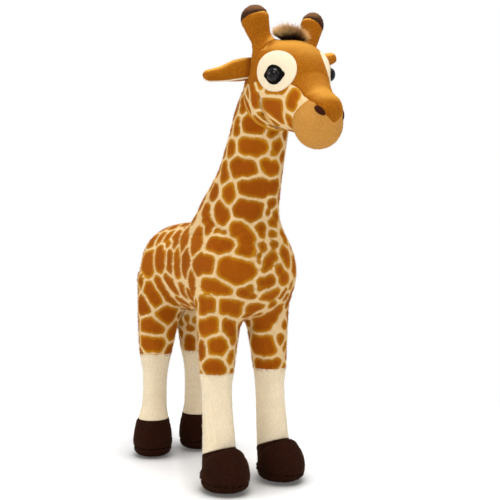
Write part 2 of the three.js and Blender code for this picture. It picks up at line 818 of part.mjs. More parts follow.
const frontLeg = {
  placeShare: frontLegPlaceShare,
  track: frontTrack,
  sockTop: frontSockTop,
  hoofHeight: frontHoofHeight,
  hoofWidth: frontHoofWidth,
  hoofLength: frontHoofLength,
  hoofTilt: frontHoofTilt,
  thighShares: frontThighShares,
  shankShares: frontShankShares,
  hoofShares: frontHoofShares,
};
const hindLeg = {
  placeShare: hindLegPlaceShare,
  track: hindTrack,
  sockTop: hindSockTop,
  hoofHeight: hindHoofHeight,
  hoofWidth: hindHoofWidth,
  hoofLength: hindHoofLength,
  hoofTilt: 0,
  thighShares: hindThighShares,
  shankShares: hindShankShares,
  hoofShares: hindHoofShares,
};
const legs = [
  { name: 'front_right', leg: frontLeg, side: -1 },
  { name: 'front_left', leg: frontLeg, side: 1 },
  { name: 'hind_right', leg: hindLeg, side: -1 },
  { name: 'hind_left', leg: hindLeg, side: 1 },
].map((entry) => {
  const stations = legStations(entry.leg, entry.side);
  const soleRound = stations[stations.length - 1][2] + floorCut;
  const limb = { sides: legSides, startCap: legTopCap, endCap: soleRound, endPower: 4, stations };
  return { ...entry, limb };
});

buildTorso(legs.map((entry) => entry.limb));
buildNeck();
for (const entry of legs) buildLeg(entry);
buildHead();
for (const [word, side, droop, sweep] of [
  ['right', -1, rightEarDroop, rightEarSweepBack],
  ['left', 1, leftEarDroop, leftEarSweepBack],
]) {
  buildNostril(`nostril_${word}`, side);
  buildHorn(`horn_${word}`, side);
  buildEar(`ear_${word}`, side, droop, sweep);
}
buildTail();

// The origin is on the floor, under the middle of the whole toy
const box = new THREE.Box3().setFromObject(toy);
const middle = box.getCenter(new THREE.Vector3());
toy.position.set(0, -middle.y, 0);

export default toy;
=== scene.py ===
"""Plush giraffe, half a metre tall: sewn skins and their pile, face, horns, ears and hooves, built round
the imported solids. Metres, +Z up. The toy faces -Y and +X is its own left side."""

import json
import logging
import math
from dataclasses import dataclass, field, replace
from enum import Enum
from typing import Callable, NamedTuple

import bpy
import numpy as np
from mathutils import Euler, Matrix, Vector
from mathutils.bvhtree import BVHTree


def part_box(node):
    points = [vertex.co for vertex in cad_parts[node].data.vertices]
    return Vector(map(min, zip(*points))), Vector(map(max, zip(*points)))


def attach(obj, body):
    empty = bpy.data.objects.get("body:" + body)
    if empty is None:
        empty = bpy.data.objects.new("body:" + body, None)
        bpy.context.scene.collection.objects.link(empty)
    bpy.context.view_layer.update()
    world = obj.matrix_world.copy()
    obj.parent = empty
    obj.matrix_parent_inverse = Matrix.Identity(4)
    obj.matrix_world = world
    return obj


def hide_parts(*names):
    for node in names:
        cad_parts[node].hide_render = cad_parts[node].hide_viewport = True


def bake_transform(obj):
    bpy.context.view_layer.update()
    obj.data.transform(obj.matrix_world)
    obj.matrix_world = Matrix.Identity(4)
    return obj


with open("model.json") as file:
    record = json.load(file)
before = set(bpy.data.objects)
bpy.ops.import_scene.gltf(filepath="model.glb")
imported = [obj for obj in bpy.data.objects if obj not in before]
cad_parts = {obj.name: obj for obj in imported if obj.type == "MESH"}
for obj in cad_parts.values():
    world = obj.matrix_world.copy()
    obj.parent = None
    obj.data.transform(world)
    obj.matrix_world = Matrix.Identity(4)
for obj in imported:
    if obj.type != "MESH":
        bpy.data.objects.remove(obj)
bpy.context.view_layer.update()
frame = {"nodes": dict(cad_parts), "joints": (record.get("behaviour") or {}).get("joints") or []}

log = logging.getLogger("giraffe")
Array = np.ndarray
Table = tuple[tuple[float, ...], ...]

MM = 0.001
SEED = 2207
FILL = 0.9
MOST_FACES = 199_000
DOWN = np.array([0.0, 0.0, -1.0])
UP = -DOWN


# Arrays of points

def unit(vectors: Array) -> Array:
    """The same directions with a length of one."""
    return vectors / np.maximum(np.linalg.norm(vectors, axis=-1, keepdims=True), 1e-12)


def dot(first: Array, second: Array) -> Array:
    """The product of two rows of vectors, summed over their last axis."""
    return (first * second).sum(-1)


def circle(sides: int) -> Array:
    """The angles of so many points round a circle."""
    return np.arange(sides) * 2 * math.pi / sides


def oval(angle: Array, half_long: float, half_wide: float) -> Array:
    """The radius of an oval at each angle from its long axis."""
    return 1 / np.sqrt((np.cos(angle) / half_long) ** 2 + (np.sin(angle) / half_wide) ** 2)


def ease(values: Array, low: float, high: float) -> Array:
    """0 up to low, 1 from high on, and 3t^2 - 2t^3 between them."""
    share = np.clip((values - low) / (high - low), 0.0, 1.0)
    return share * share * (3.0 - 2.0 * share)


def soft_least(first: Array, second: Array, fillet: float) -> Array:
    """The lesser of two distances, less fillet / 4 times (1 - difference / fillet) squared near a tie."""
    share = np.maximum(fillet - np.abs(first - second), 0.0) / fillet
    return np.minimum(first, second) - share * share * fillet / 4.0


def through(rows: Array, places: Array) -> Array:
    """A smooth curve through every row of a table.

    Between rows b and c, with a before and d after, it is the cubic whose slope at b is (c - a) / 2 and
    at c is (d - b) / 2. One row is mirrored beyond each end.

    Args:
        rows: One row for each whole place.
        places: Where to read the curve, 0 for the first row.

    Returns:
        One row of values for each place.
    """
    last = len(rows) - 1
    ends = 2 * rows[:1] - rows[1:2], 2 * rows[last:] - rows[last - 1:last]
    padded = np.vstack([ends[0], rows, ends[1]])
    step = np.clip(np.floor(places), 0, last - 1).astype(int)
    part = (places - step)[:, None]
    a, b, c, d = (padded[step + shift] for shift in range(4))
    bend = (2 * a - 5 * b + 4 * c - d) * part + (3 * b - a - 3 * c + d) * part * part
    return b + 0.5 * part * (c - a + bend)


def vertex_normals(points: Array, triangles: Array) -> Array:
    """The outward direction at each point: the sum of its triangles' cross products, made unit."""
    a, b, c = (points[triangles[:, corner]] for corner in range(3))
    faces = np.cross(b - a, c - a)
    total = np.zeros_like(points)
    for corner in range(3):
        np.add.at(total, triangles[:, corner], faces)
    return unit(total)


def put_mesh(name: str, points: Array, corners: Array, sizes: Array, finish: "Finish",
             marks: dict[str, Array] | None = None, cells: Array | None = None,
             normals: Array | None = None) -> bpy.types.Object:
    """Makes a new piece from whole arrays, at the origin, with its place in its mesh.

    Args:
        name: The piece's name.
        points: The vertices.
        corners: The vertex of each face corner, face after face.
        sizes: How many corners each face has.
        finish: What it is dressed in, and the slot that this comes from.
        marks: Values per vertex that the material reads by name.
        cells: A place per vertex in the map named OFBake.
        normals: Shading directions per vertex.

    Returns:
        The new object.
    """
    mesh = bpy.data.meshes.new(name)
    mesh.vertices.add(len(points))
    mesh.vertices.foreach_set("co", np.asarray(points, np.float32).ravel())
    mesh.loops.add(len(corners))
    mesh.loops.foreach_set("vertex_index", np.asarray(corners, np.int32))
    mesh.polygons.add(len(sizes))
    mesh.polygons.foreach_set("loop_start", np.concatenate([[0], np.cumsum(sizes)[:-1]]).astype(np.int32))
    mesh.polygons.foreach_set("use_smooth", np.ones(len(sizes), bool))
    for key, values in (marks or {}).items():
        mesh.attributes.new(key, "FLOAT", "POINT").data.foreach_set("value", np.asarray(values, np.float32))
    mesh.update(calc_edges=True)
    if cells is not None:
        layer = mesh.uv_layers.new(name="OFBake")
        layer.data.foreach_set("uv", np.asarray(cells[corners], np.float32).ravel())
    if normals is not None:
        mesh.normals_split_custom_set_from_vertices(normals.tolist())
    mesh.materials.append(finish.material())
    piece = bpy.data.objects.new(name, mesh)
    bpy.context.scene.collection.objects.link(piece)
    return piece


class Sections(NamedTuple):
    """Cross sections of a limb: their centres, axes and half sizes."""

    centre: Array
    along: Array
    side: Array
    rise: Array
    wide: Array
    deep: Array


@dataclass
class Surface:
    """A closed tube on a grid of rings and sides, with one pole at each end."""

    points: Array
    rings: int
    sides: int
    lay: Array
    marks: dict[str, Array] = field(default_factory=dict)

    def quads(self) -> Array:
        """The faces between the rings, turned outwards."""
        ring, side = np.meshgrid(np.arange(self.rings - 1), np.arange(self.sides), indexing="ij")
        after = (side + 1) % self.sides
        low, high = ring * self.sides, (ring + 1) * self.sides
        return np.stack([low + side, low + after, high + after, high + side], -1).reshape(-1, 4)

    def fans(self) -> Array:
        """The triangles that close the two poles."""
        side = np.arange(self.sides)
        after = (side + 1) % self.sides
        pole, top = self.rings * self.sides, (self.rings - 1) * self.sides
        start = np.stack([np.full_like(side, pole), after, side], -1)
        end = np.stack([np.full_like(side, pole + 1), top + side, top + after], -1)
        return np.vstack([start, end])

    def triangles(self) -> Array:
        """Every face as triangles."""
        quads = self.quads()
        return np.vstack([quads[:, [0, 1, 2]], quads[:, [0, 2, 3]], self.fans()])

    def normals(self) -> Array:
        """The outward direction at each vertex."""
        return vertex_normals(self.points, self.triangles())

    def copy(self) -> "Surface":
        """The same surface with points and marks of its own."""
        return replace(self, points=self.points.copy(), marks={})

    def paint_top_light(self) -> None:
        """Paints light: marks where the skin faces up, so that its colour is painted paler there as if lit
        from above.
        """
        self.marks["tone"] = ease(self.normals()[:, 2], 0.15, 0.85)

    def piece(self, name: str, finish: "Finish") -> bpy.types.Object:
        """The surface as a new object."""
        quads, fans = self.quads(), self.fans()
        corners = np.concatenate([quads.ravel(), fans.ravel()])
        sizes = np.concatenate([np.full(len(quads), 4), np.full(len(fans), 3)])
        return put_mesh(name, self.points, corners, sizes, finish, self.marks)


@dataclass
class Limb:
    """A stuffed tube: an ellipse carried along a smooth line, with a rounded cap at each end.

    Attributes:
        stations: Rows of centre x, y, z, half width and half depth.
        start_cap: How far the first cap reaches.
        end_cap: How far the last cap reaches.
        end_power: 2 for a round last cap, more for a flatter one.
        side: The direction that the widths are measured in, made square to the line.
    """

    stations: Array
    start_cap: float
    end_cap: float
    end_power: float = 2.0
    side: tuple[float, float, float] = (1.0, 0.0, 0.0)
    samples: int = 72

    def __post_init__(self) -> None:
        """Measures the centre line once."""
        self.last = len(self.stations) - 1
        self.places = np.linspace(0, self.last, self.samples)
        self.line = self.sections(self.places)
        steps = np.linalg.norm(np.diff(self.line.centre, axis=0), axis=1)
        self.run = np.concatenate([[0.0], np.cumsum(steps)])
        self.speed = np.gradient(self.run, self.places)

    def sections(self, places: Array) -> Sections:
        """The cross sections at some places, with rise = along x side."""
        values = through(self.stations, places)
        nudge = 0.01
        ahead = through(self.stations, np.minimum(places + nudge, self.last))[:, :3]
        behind = through(self.stations, np.maximum(places - nudge, 0))[:, :3]
        along = unit(ahead - behind)
        side = np.broadcast_to(np.array(self.side), along.shape)
        side = unit(side - along * dot(side, along)[:, None])
        return Sections(values[:, :3], along, side, np.cross(along, side), values[:, 3], values[:, 4])

    def rows(self, places: Array, shift: Array, scale: Array) -> tuple[Array, Array]:
        """Rings of points: centre + shift along + scale (wide cos a side + deep sin a rise).

        Args:
            places: One place for each ring and side.
            shift: How far each ring moves along the line.
            scale: How much each ring shrinks.

        Returns:
            The points and the direction of the line at each.
        """
        shape = places.shape
        cut = self.sections(places.ravel())
        angle = np.tile(circle(shape[1]), shape[0])
        shift, scale = (np.broadcast_to(values, shape).reshape(-1, 1) for values in (shift, scale))
        spread = (cut.side * (cut.wide * np.cos(angle))[:, None]
                  + cut.rise * (cut.deep * np.sin(angle))[:, None])
        points = cut.centre + shift * cut.along + scale * spread
        return points.reshape(*shape, 3), cut.along.reshape(*shape, 3)

    def tube(self, rings: int, sides: int, start: Array | None = None, end: Array | None = None,
             cap_rings: int = 10) -> Surface:
        """The limb's skin between two cuts, or with its rounded cap where there is none.

        A cap's ring number k of n sits at reach sin(90 k / n) and shrinks by (1 - sin^p)^(1 / p).
        At a cut the rim folds in to the middle of the cut.

        Args:
            rings: Rings between the ends.
            sides: Points round each ring.
            start: The place of the first cut for each side.
            end: The place of the last cut for each side.
            cap_rings: Rings in each end.

        Returns:
            The closed surface.
        """
        first = np.zeros(sides) if start is None else start
        final = np.full(sides, float(self.last)) if end is None else end
        low, high = (np.interp(edge, self.places, self.run) for edge in (first, final))
        share = np.linspace(0, 1, rings)[:, None]
        body, lay = self.rows(np.interp(low + (high - low) * share, self.run, self.places),
                              np.zeros((rings, 1)), np.ones((rings, 1)))
        sines = np.sin(np.arange(1, cap_rings) / cap_rings * math.pi / 2)[:, None]
        shrinks = np.linspace(0.94, 0.08, cap_rings - 1)[:, None, None]

        def closing(cut: bool, edge: Array, ring: Array, along: Array, reach: float, power: float):
            if cut:
                middle = ring.mean(0)
                ways = np.broadcast_to(along, (cap_rings - 1, *along.shape))
                return middle + (ring - middle) * shrinks, ways, middle
            places = np.broadcast_to(edge, (cap_rings - 1, sides))
            points, ways = self.rows(places, reach * sines, (1 - sines ** abs(power)) ** (1 / abs(power)))
            tip = self.sections(edge[:1])
            return points, ways, tip.centre[0] + tip.along[0] * reach

        head, head_lay, head_tip = closing(start is not None, first, body[0], lay[0], -self.start_cap, 2.0)
        tail, tail_lay, tail_tip = closing(end is not None, final, body[-1], lay[-1], self.end_cap,
                                           self.end_power)
        points = np.concatenate([head[::-1], body, tail]).reshape(-1, 3)
        ways = np.concatenate([head_lay[::-1], lay, tail_lay]).reshape(-1, 3)
        total = rings + 2 * (cap_rings - 1)
        return Surface(np.vstack([points, head_tip, tail_tip]), total, sides,
                       np.vstack([ways, lay[0, 0], lay[-1, 0]]))

    def crossing(self, sides: int, measure: Callable[[Array], Array], fine: int = 160,
                 last: bool = False) -> Array:
        """The place, for each side, where a measure of the limb's skin goes through zero from above.

        Args:
            sides: Points round the limb.
            measure: Distances for points, positive before the cut.
            fine: How many places are tried along the limb.
            last: Whether the last such place is taken instead of the first, to step over a fold.

        Returns:
            One place for each side, the limb's end where there is none.
        """
        places = np.linspace(0, self.last, fine)
        points, _ = self.rows(np.repeat(places[:, None], sides, 1), np.zeros((fine, 1)), np.ones((fine, 1)))
        values = measure(points.reshape(-1, 3)).reshape(fine, sides)
        passes = (values[:-1] > 0) & (values[1:] <= 0)
        after = fine - 2 - np.argmax(passes[::-1], axis=0) if last else np.argmax(passes, axis=0)
        column = np.arange(sides)
        low, high = values[after, column], values[after + 1, column]
        found = places[after] + (places[after + 1] - places[after]) * low / np.maximum(low - high, 1e-12)
        return np.where(passes.any(0), found, self.last)

    def distance(self, points: Array) -> Array:
        """How far points lie outside the skin, about, and negative inside.

        The nearest section is found along the line. There q = (u / wide)^2 + (v / deep)^2, with
        (a / cap)^2 added beyond an end, and the distance is (r - 1) over the slope of r = sqrt q.

        Args:
            points: Places to measure.

        Returns:
            A distance for each.
        """
        line = self.line
        gaps = (line.centre ** 2).sum(1) - 2 * points @ line.centre.T
        near = gaps.argmin(1)
        offset = dot(points - line.centre[near], line.along[near])
        place = np.clip(self.places[near] + offset / self.speed[near], 0, self.last)
        cut = self.sections(place)
        arm = points - cut.centre
        ratios, slopes = [], []
        beyond = dot(arm, cut.along)
        caps = np.where(beyond > 0, self.end_cap, self.start_cap)
        beyond = np.where((place <= 0) & (beyond < 0) | (place >= self.last) & (beyond > 0), beyond, 0.0)
        for reach, half in ((dot(arm, cut.side), cut.wide), (dot(arm, cut.rise), cut.deep), (beyond, caps)):
            ratios.append((reach / half) ** 2)
            slopes.append((reach / half ** 2) ** 2)
        radius = np.sqrt(np.maximum(sum(ratios), 1e-9))
        return (radius - 1) * radius / np.sqrt(np.maximum(sum(slopes), 1e-9))


@dataclass
class Joined:
    """Limbs drawn into one smooth skin, with a fillet where each meets the ones before it."""

    forms: dict[str, Limb]
    fillets: dict[str, float]

    def distances(self, points: Array) -> dict[str, Array]:
        """Every limb's own distance at some points."""
        return {name: limb.distance(points) for name, limb in self.forms.items()}

    def depth(self, points: Array) -> Array:
        """The distance to the joined skin: soft_least taken limb after limb."""
        total = None
        for name, values in self.distances(points).items():
            total = values if total is None else soft_least(total, values, self.fillets[name])
        return total

    def settle(self, surface: Surface, over: Callable[[Array, dict[str, Array]], Array],
               reach: float = 9 * MM, inward: float = 0.0, tuck: float = 1.6 * MM,
               seam: float = 0.5 * MM, seam_width: float = 1.2 * MM) -> Array:
        """Moves a limb's skin out onto the joined skin, and under its neighbours where they cover it.

        Each vertex goes along its normal n by t, found by repeating t = t - depth(p + t n), and halved
        where that finds no skin. Under a neighbour the vertex sinks by tuck, and from 2 to 6 mm in, an
        outward t fades to nothing. A groove of depth seam e^-(over / width)^2 marks the seam.

        Args:
            surface: The limb's own skin, changed in place.
            over: From points and distances, how far inside a neighbour's patch each point is.
            reach: How deep inside another limb a vertex is still moved.
            inward: How far a vertex may go the other way.
            tuck: How far the covered part sinks.
            seam: How deep the groove is.
            seam_width: How wide the groove is.

        Returns:
            For each vertex, how far under a neighbour it lies, negative where it shows.
        """
        normals = surface.normals()
        moving = np.nonzero(self.depth(surface.points) > -reach)[0]
        travel = np.zeros(len(surface.points))
        for _ in range(7):
            gap = self.depth(surface.points[moving] + normals[moving] * travel[moving, None])
            travel[moving] = np.clip(travel[moving] - gap, -inward, reach)
        travel[moving[np.abs(gap) > MM]] *= 0.5
        settled = surface.points + normals * travel[:, None]
        covered = over(settled, self.distances(settled))
        sunk = ease(covered, 2 * MM, 6 * MM)
        groove = seam * np.exp(-(covered / seam_width) ** 2)
        travel = np.minimum(travel, travel * (1 - sunk)) - tuck * ease(covered, 0, 3 * MM) - groove
        surface.points = surface.points + normals * travel[:, None]
        return covered

    def outward(self, points: Array, step: float = 0.4 * MM) -> Array:
        """The steepest way out of the joined skin, by central differences."""
        slopes = [self.depth(points + axis) - self.depth(points - axis) for axis in np.eye(3) * step]
        return unit(np.stack(slopes, -1))

    def drape(self, points: Array, way: Array, turns: int = 8) -> Array:
        """Points moved along one direction until they lie on the joined skin."""
        travel = np.zeros(len(points))
        for _ in range(turns):
            travel -= self.depth(points + way * travel[:, None]) * 0.9
        return points + way * travel[:, None]


# Finishes

LIGHT = (1.0, 1.0, 1.0, 1.0)


def linear(colour: str) -> tuple[float, float, float, float]:
    """A written colour such as c98a2e as the linear values that shaders take."""
    parts = [int(colour[at:at + 2], 16) / 255 for at in (0, 2, 4)]
    return (*(part / 12.92 if part <= 0.04045 else ((part + 0.055) / 1.055) ** 2.4 for part in parts), 1.0)


class Nodes:
    """Short ways to add and join the nodes of one tree."""

    def __init__(self, tree: bpy.types.NodeTree) -> None:
        """Keeps the tree."""
        self.tree = tree

    def add(self, kind: str, inputs: dict | None = None, **settings) -> bpy.types.Node:
        """Adds a node, sets its options, and joins or sets its inputs by name or number."""
        node = self.tree.nodes.new("ShaderNode" + kind)
        for key, value in settings.items():
            setattr(node, key, value)
        for key, value in (inputs or {}).items():
            self.set(node, key, value)
        return node

    def set(self, node: bpy.types.Node, key: str | int, value) -> None:
        """Joins a socket to a node's input, or sets that input to a plain value."""
        if isinstance(value, bpy.types.NodeSocket):
            self.tree.links.new(value, node.inputs[key])
        else:
            node.inputs[key].default_value = value

    def maths(self, kind: str, first, second=0.0) -> bpy.types.NodeSocket:
        """One sum of two values."""
        return self.add("Math", {0: first, 1: second}, operation=kind).outputs[0]

    def mix(self, share, first, second, blend: str = "MIX") -> bpy.types.NodeSocket:
        """Two colours mixed by a share."""
        inputs = {0: share, 6: first, 7: second}
        return self.add("Mix", inputs, data_type="RGBA", blend_type=blend).outputs[2]

    def ramp(self, value, low: float, high: float, to_low: float = 0.0, to_high: float = 1.0):
        """A value carried smoothly from one range to another."""
        inputs = {"Value": value, "From Min": low, "From Max": high, "To Min": to_low, "To Max": to_high}
        return self.add("MapRange", inputs, interpolation_type="SMOOTHSTEP").outputs[0]

    def mark(self, name: str) -> bpy.types.NodeSocket:
        """A value that the mesh carries per vertex."""
        return self.add("Attribute", attribute_name=name).outputs["Fac"]

    def seen_by(self, also: str) -> bpy.types.NodeSocket:
        """1 for the camera's rays and for one other kind, else 0."""
        path = self.add("LightPath")
        return self.maths("MAXIMUM", path.outputs["Is Camera Ray"], path.outputs[also])

    def noise(self, vector, scale: float, detail: float = 2.0) -> bpy.types.NodeSocket:
        """Soft noise with the given number of swells per metre."""
        return self.add("TexNoise", {"Vector": vector, "Scale": scale, "Detail": detail}).outputs["Fac"]

    def stretched(self, vector, across: float, down: float) -> bpy.types.NodeSocket:
        """Noise drawn out along Z, for pile that lies downwards."""
        mapped = self.add("Mapping", {"Vector": vector, "Scale": (across, across, down)}).outputs[0]
        return self.noise(mapped, 1.0, 3.0)


def node_group(name: str, inputs: dict[str, str], outputs: dict[str, str],
               fill: Callable) -> bpy.types.NodeTree:
    """A named group, built once.

    Args:
        name: The group's name.
        inputs: Kind of socket by input name.
        outputs: Kind of socket by output name.
        fill: Given the nodes and the input sockets, returns the sockets to put out, by name.

    Returns:
        The group's tree.
    """
    if name in bpy.data.node_groups:
        return bpy.data.node_groups[name]
    tree = bpy.data.node_groups.new(name, "ShaderNodeTree")
    for way, sockets in (("INPUT", inputs), ("OUTPUT", outputs)):
        for key, kind in sockets.items():
            tree.interface.new_socket(name=key, in_out=way, socket_type="NodeSocket" + kind)
    ins, outs = tree.nodes.new("NodeGroupInput"), tree.nodes.new("NodeGroupOutput")
    for key, socket in fill(Nodes(tree), ins.outputs).items():
        tree.links.new(socket, outs.inputs[key])
    return tree


def pile_grain() -> bpy.types.NodeTree:
    """Tufted grain of a short pile: fine clumps and drawn-out strands, as a share and as a height."""
    def fill(nodes: Nodes, ins) -> dict:
        clumps = nodes.noise(ins["Vector"], 900.0)
        strands = nodes.stretched(ins["Vector"], 1500.0, 300.0)
        swell = nodes.noise(ins["Vector"], 60.0, 3.0)
        both = nodes.maths("ADD", nodes.maths("MULTIPLY", clumps, 0.5), nodes.maths("MULTIPLY", strands, 0.5))
        return {"Grain": both, "Swell": swell, "Height": nodes.maths("MULTIPLY", both, ins["Strength"])}
    return node_group("pile grain", {"Vector": "Vector", "Strength": "Float"},
                      {"Grain": "Float", "Swell": "Float", "Height": "Float"}, fill)


def printed_colour() -> bpy.types.NodeTree:
    """Brown patches on a cream ground: golden at the rim, deeper in the middle, with a ragged edge."""
    def fill(nodes: Nodes, ins) -> dict:
        ragged = nodes.maths("SUBTRACT", ins["Grain"], 0.5)
        margin = nodes.maths("ADD", ins["Margin"], nodes.maths("MULTIPLY", ragged, 0.9))
        inside = nodes.ramp(margin, -0.45, 0.45)
        middle = nodes.ramp(margin, 0.4, 4.2)
        patch = nodes.mix(middle, ins["Rim"], ins["Middle"])
        patch = nodes.mix(nodes.maths("MULTIPLY", ins["Tint"], 0.5), patch, ins["Warm"])
        both = nodes.mix(inside, ins["Ground"], patch)
        # Painted shade darkens the print between the tufts and at the roots; towards the tips it is lighter.
        light = nodes.ramp(nodes.maths("ADD", ins["Grain"], ins["Tip"]), 0.2, 1.5, 0.8, 1.14)
        return {"Color": nodes.mix(1.0, both, light, "MULTIPLY")}
    return node_group("printed colour",
                      {"Margin": "Float", "Tint": "Float", "Tip": "Float", "Grain": "Float",
                       "Ground": "Color", "Rim": "Color", "Middle": "Color", "Warm": "Color"},
                      {"Color": "Color"}, fill)


def plain_colour() -> bpy.types.NodeTree:
    """One dyed pile: its base, deeper between the tufts and at the roots as painted shade, and paler at the
    tips.
    """
    def fill(nodes: Nodes, ins) -> dict:
        value = nodes.maths("ADD", nodes.maths("MULTIPLY", ins["Grain"], 0.5), ins["Tip"])
        colour = nodes.mix(nodes.ramp(value, 0.15, 0.5), ins["Deep"], ins["Base"])
        colour = nodes.mix(nodes.ramp(value, 0.6, 1.4), colour, ins["Pale"])
        colour = nodes.mix(nodes.ramp(ins["Swell"], 0.42, 0.75, 0.0, 0.35), colour, ins["Deep"])
        # Tone paints light and shade: where positive it makes skins paler where they face up, as painted
        # light, and forelock strands paler in their own colour; where negative it is painted shade at seams
        # and at the ear's root.
        colour = nodes.mix(nodes.ramp(ins["Tone"], 0.0, 1.0, 0.0, 0.8), colour, ins["Pale"])
        return {"Color": nodes.mix(nodes.ramp(ins["Tone"], -1.0, 0.0, 0.9, 0.0), colour, ins["Deep"])}
    return node_group("plain colour", {"Grain": "Float", "Swell": "Float", "Tip": "Float", "Tone": "Float",
                                       "Base": "Color", "Deep": "Color", "Pale": "Color"},
                      {"Color": "Color"}, fill)


@dataclass(frozen=True)
class Finish:
    """A material by name, and the slot of the part's record that it is made for, if any."""

    name: str
    slot: str

    def material(self) -> bpy.types.Material:
        """The finished material, made once."""
        made = bpy.data.materials.get(self.name)
        if made is None:
            made = bpy.data.materials.new(self.name)
            made.use_nodes = True
            nodes = Nodes(made.node_tree)
            shader = made.node_tree.nodes["Principled BSDF"]
            place = nodes.add("TexCoord").outputs["Object"]
            for key, value in self.surface(nodes, place).items():
                nodes.set(shader, key, value)
        return made


@dataclass(frozen=True)
class Plush(Finish):
    """A plush of one dye. Colours are its base, the deeper colour that paints shade between the tufts and at
    the roots, and the tips.
    """

    base: str
    deep: str
    pale: str
    sheen: float = 0.25
    glow: str = "c8a070"
    height: float = 0.5

    def colour(self, nodes: Nodes, grain: bpy.types.Node) -> bpy.types.NodeSocket:
        """The colour over the surface."""
        inputs = {"Grain": grain.outputs["Grain"], "Swell": grain.outputs["Swell"], "Tip": nodes.mark("tip"),
                  "Tone": nodes.mark("tone"), "Base": linear(self.base), "Deep": linear(self.deep),
                  "Pale": linear(self.pale)}
        return nodes.add("Group", inputs, node_tree=plain_colour()).outputs["Color"]

    def surface(self, nodes: Nodes, place: bpy.types.NodeSocket) -> dict:
        """What goes into the shader, by the name of its input."""
        grain = nodes.add("Group", {"Vector": place, "Strength": self.height}, node_tree=pile_grain())
        bump = nodes.add("Bump", {"Height": grain.outputs["Height"], "Distance": MM})
        rough = nodes.ramp(grain.outputs["Grain"], 0.2, 0.8, 0.98, 0.86)
        return {"Base Color": self.colour(nodes, grain), "Normal": bump.outputs[0], "Roughness": rough,
                "Specular IOR Level": 0.1, "Sheen Weight": self.sheen, "Sheen Roughness": 0.4,
                "Sheen Tint": linear(self.glow)}


@dataclass(frozen=True)
class PrintedPlush(Plush):
    """The plush printed with brown patches. Base is the rim, deep the middle, pale the cream ground."""

    warm: str = "a8480a"

    def colour(self, nodes: Nodes, grain: bpy.types.Node) -> bpy.types.NodeSocket:
        """The colour over the surface."""
        inputs = {"Margin": nodes.mark("margin"), "Tint": nodes.mark("tint"), "Tip": nodes.mark("tip"),
                  "Grain": grain.outputs["Grain"], "Ground": linear(self.pale), "Rim": linear(self.base),
                  "Middle": linear(self.deep), "Warm": linear(self.warm)}
        return nodes.add("Group", inputs, node_tree=printed_colour()).outputs["Color"]


@dataclass(frozen=True)
class Moulded(Finish):
    """Hard plastic with faint scuffs, polished or satin."""

    colour: str
    roughness: float
    gloss: float = 0.5

    def surface(self, nodes: Nodes, place: bpy.types.NodeSocket) -> dict:
        """What goes into the shader, by the name of its input."""
        scuffs = nodes.noise(place, 400.0, 4.0)
        tone = nodes.mix(nodes.ramp(scuffs, 0.45, 0.8, 0.0, 0.2), linear(self.colour), linear("58504a"))
        bump = nodes.add("Bump", {"Height": scuffs, "Distance": 0.02 * MM, "Strength": 0.3})
        return {"Base Color": tone, "Normal": bump.outputs[0], "Specular IOR Level": self.gloss,
                "Roughness": nodes.ramp(scuffs, 0.5, 0.9, self.roughness, self.roughness + 0.1)}


PRINTED = PrintedPlush("printed_plush_finish", "printed_plush", "c48610", "a85604", "eccb96",
                       warm="8e3f02", glow="d89a28")
GOLDEN = Plush("golden_plush_finish", "golden_plush", "be7a08", "884604", "ecb04c", glow="e8a838")
CREAM = Plush("cream_plush_finish", "cream_plush", "f4e8d0", "dcc8a4", "fcf4e2", glow="fff2d8")
WHITE = Plush("eye_patch_finish", "cream_plush", "f4e6ca", "dccbac", "fcf2e0")
TAN = Plush("tan_plush_finish", "tan_plush", "d49c50", "b07830", "e8c080")
HOOF = Plush("dark_plush_finish", "dark_plush", "341404", "1c0802", "5a3010", sheen=0.12,
             glow="7a5420")
HAIR = Plush("dark_pile_finish", "dark_pile", "a05c20", "5a2606", "e8b878", sheen=0.1)
CAP = Plush("horn_tip_finish", "dark_pile", "50301c", "2c180e", "7c5638", sheen=0.08)
FELT = Plush("black_felt_finish", "black_felt", "100a07", "060403", "20160f", sheen=0.02)
NOSTRIL = Plush("nostril_finish", "dark_plush", "4c1c06", "2c0e04", "6e3412")
EYE = Moulded("eye_plastic_finish", "eye_plastic", "08070a", 0.07, gloss=0.2)
WASHER = Moulded("washer_plastic_finish", "washer_plastic", "e0e0db", 0.4)


# Pile

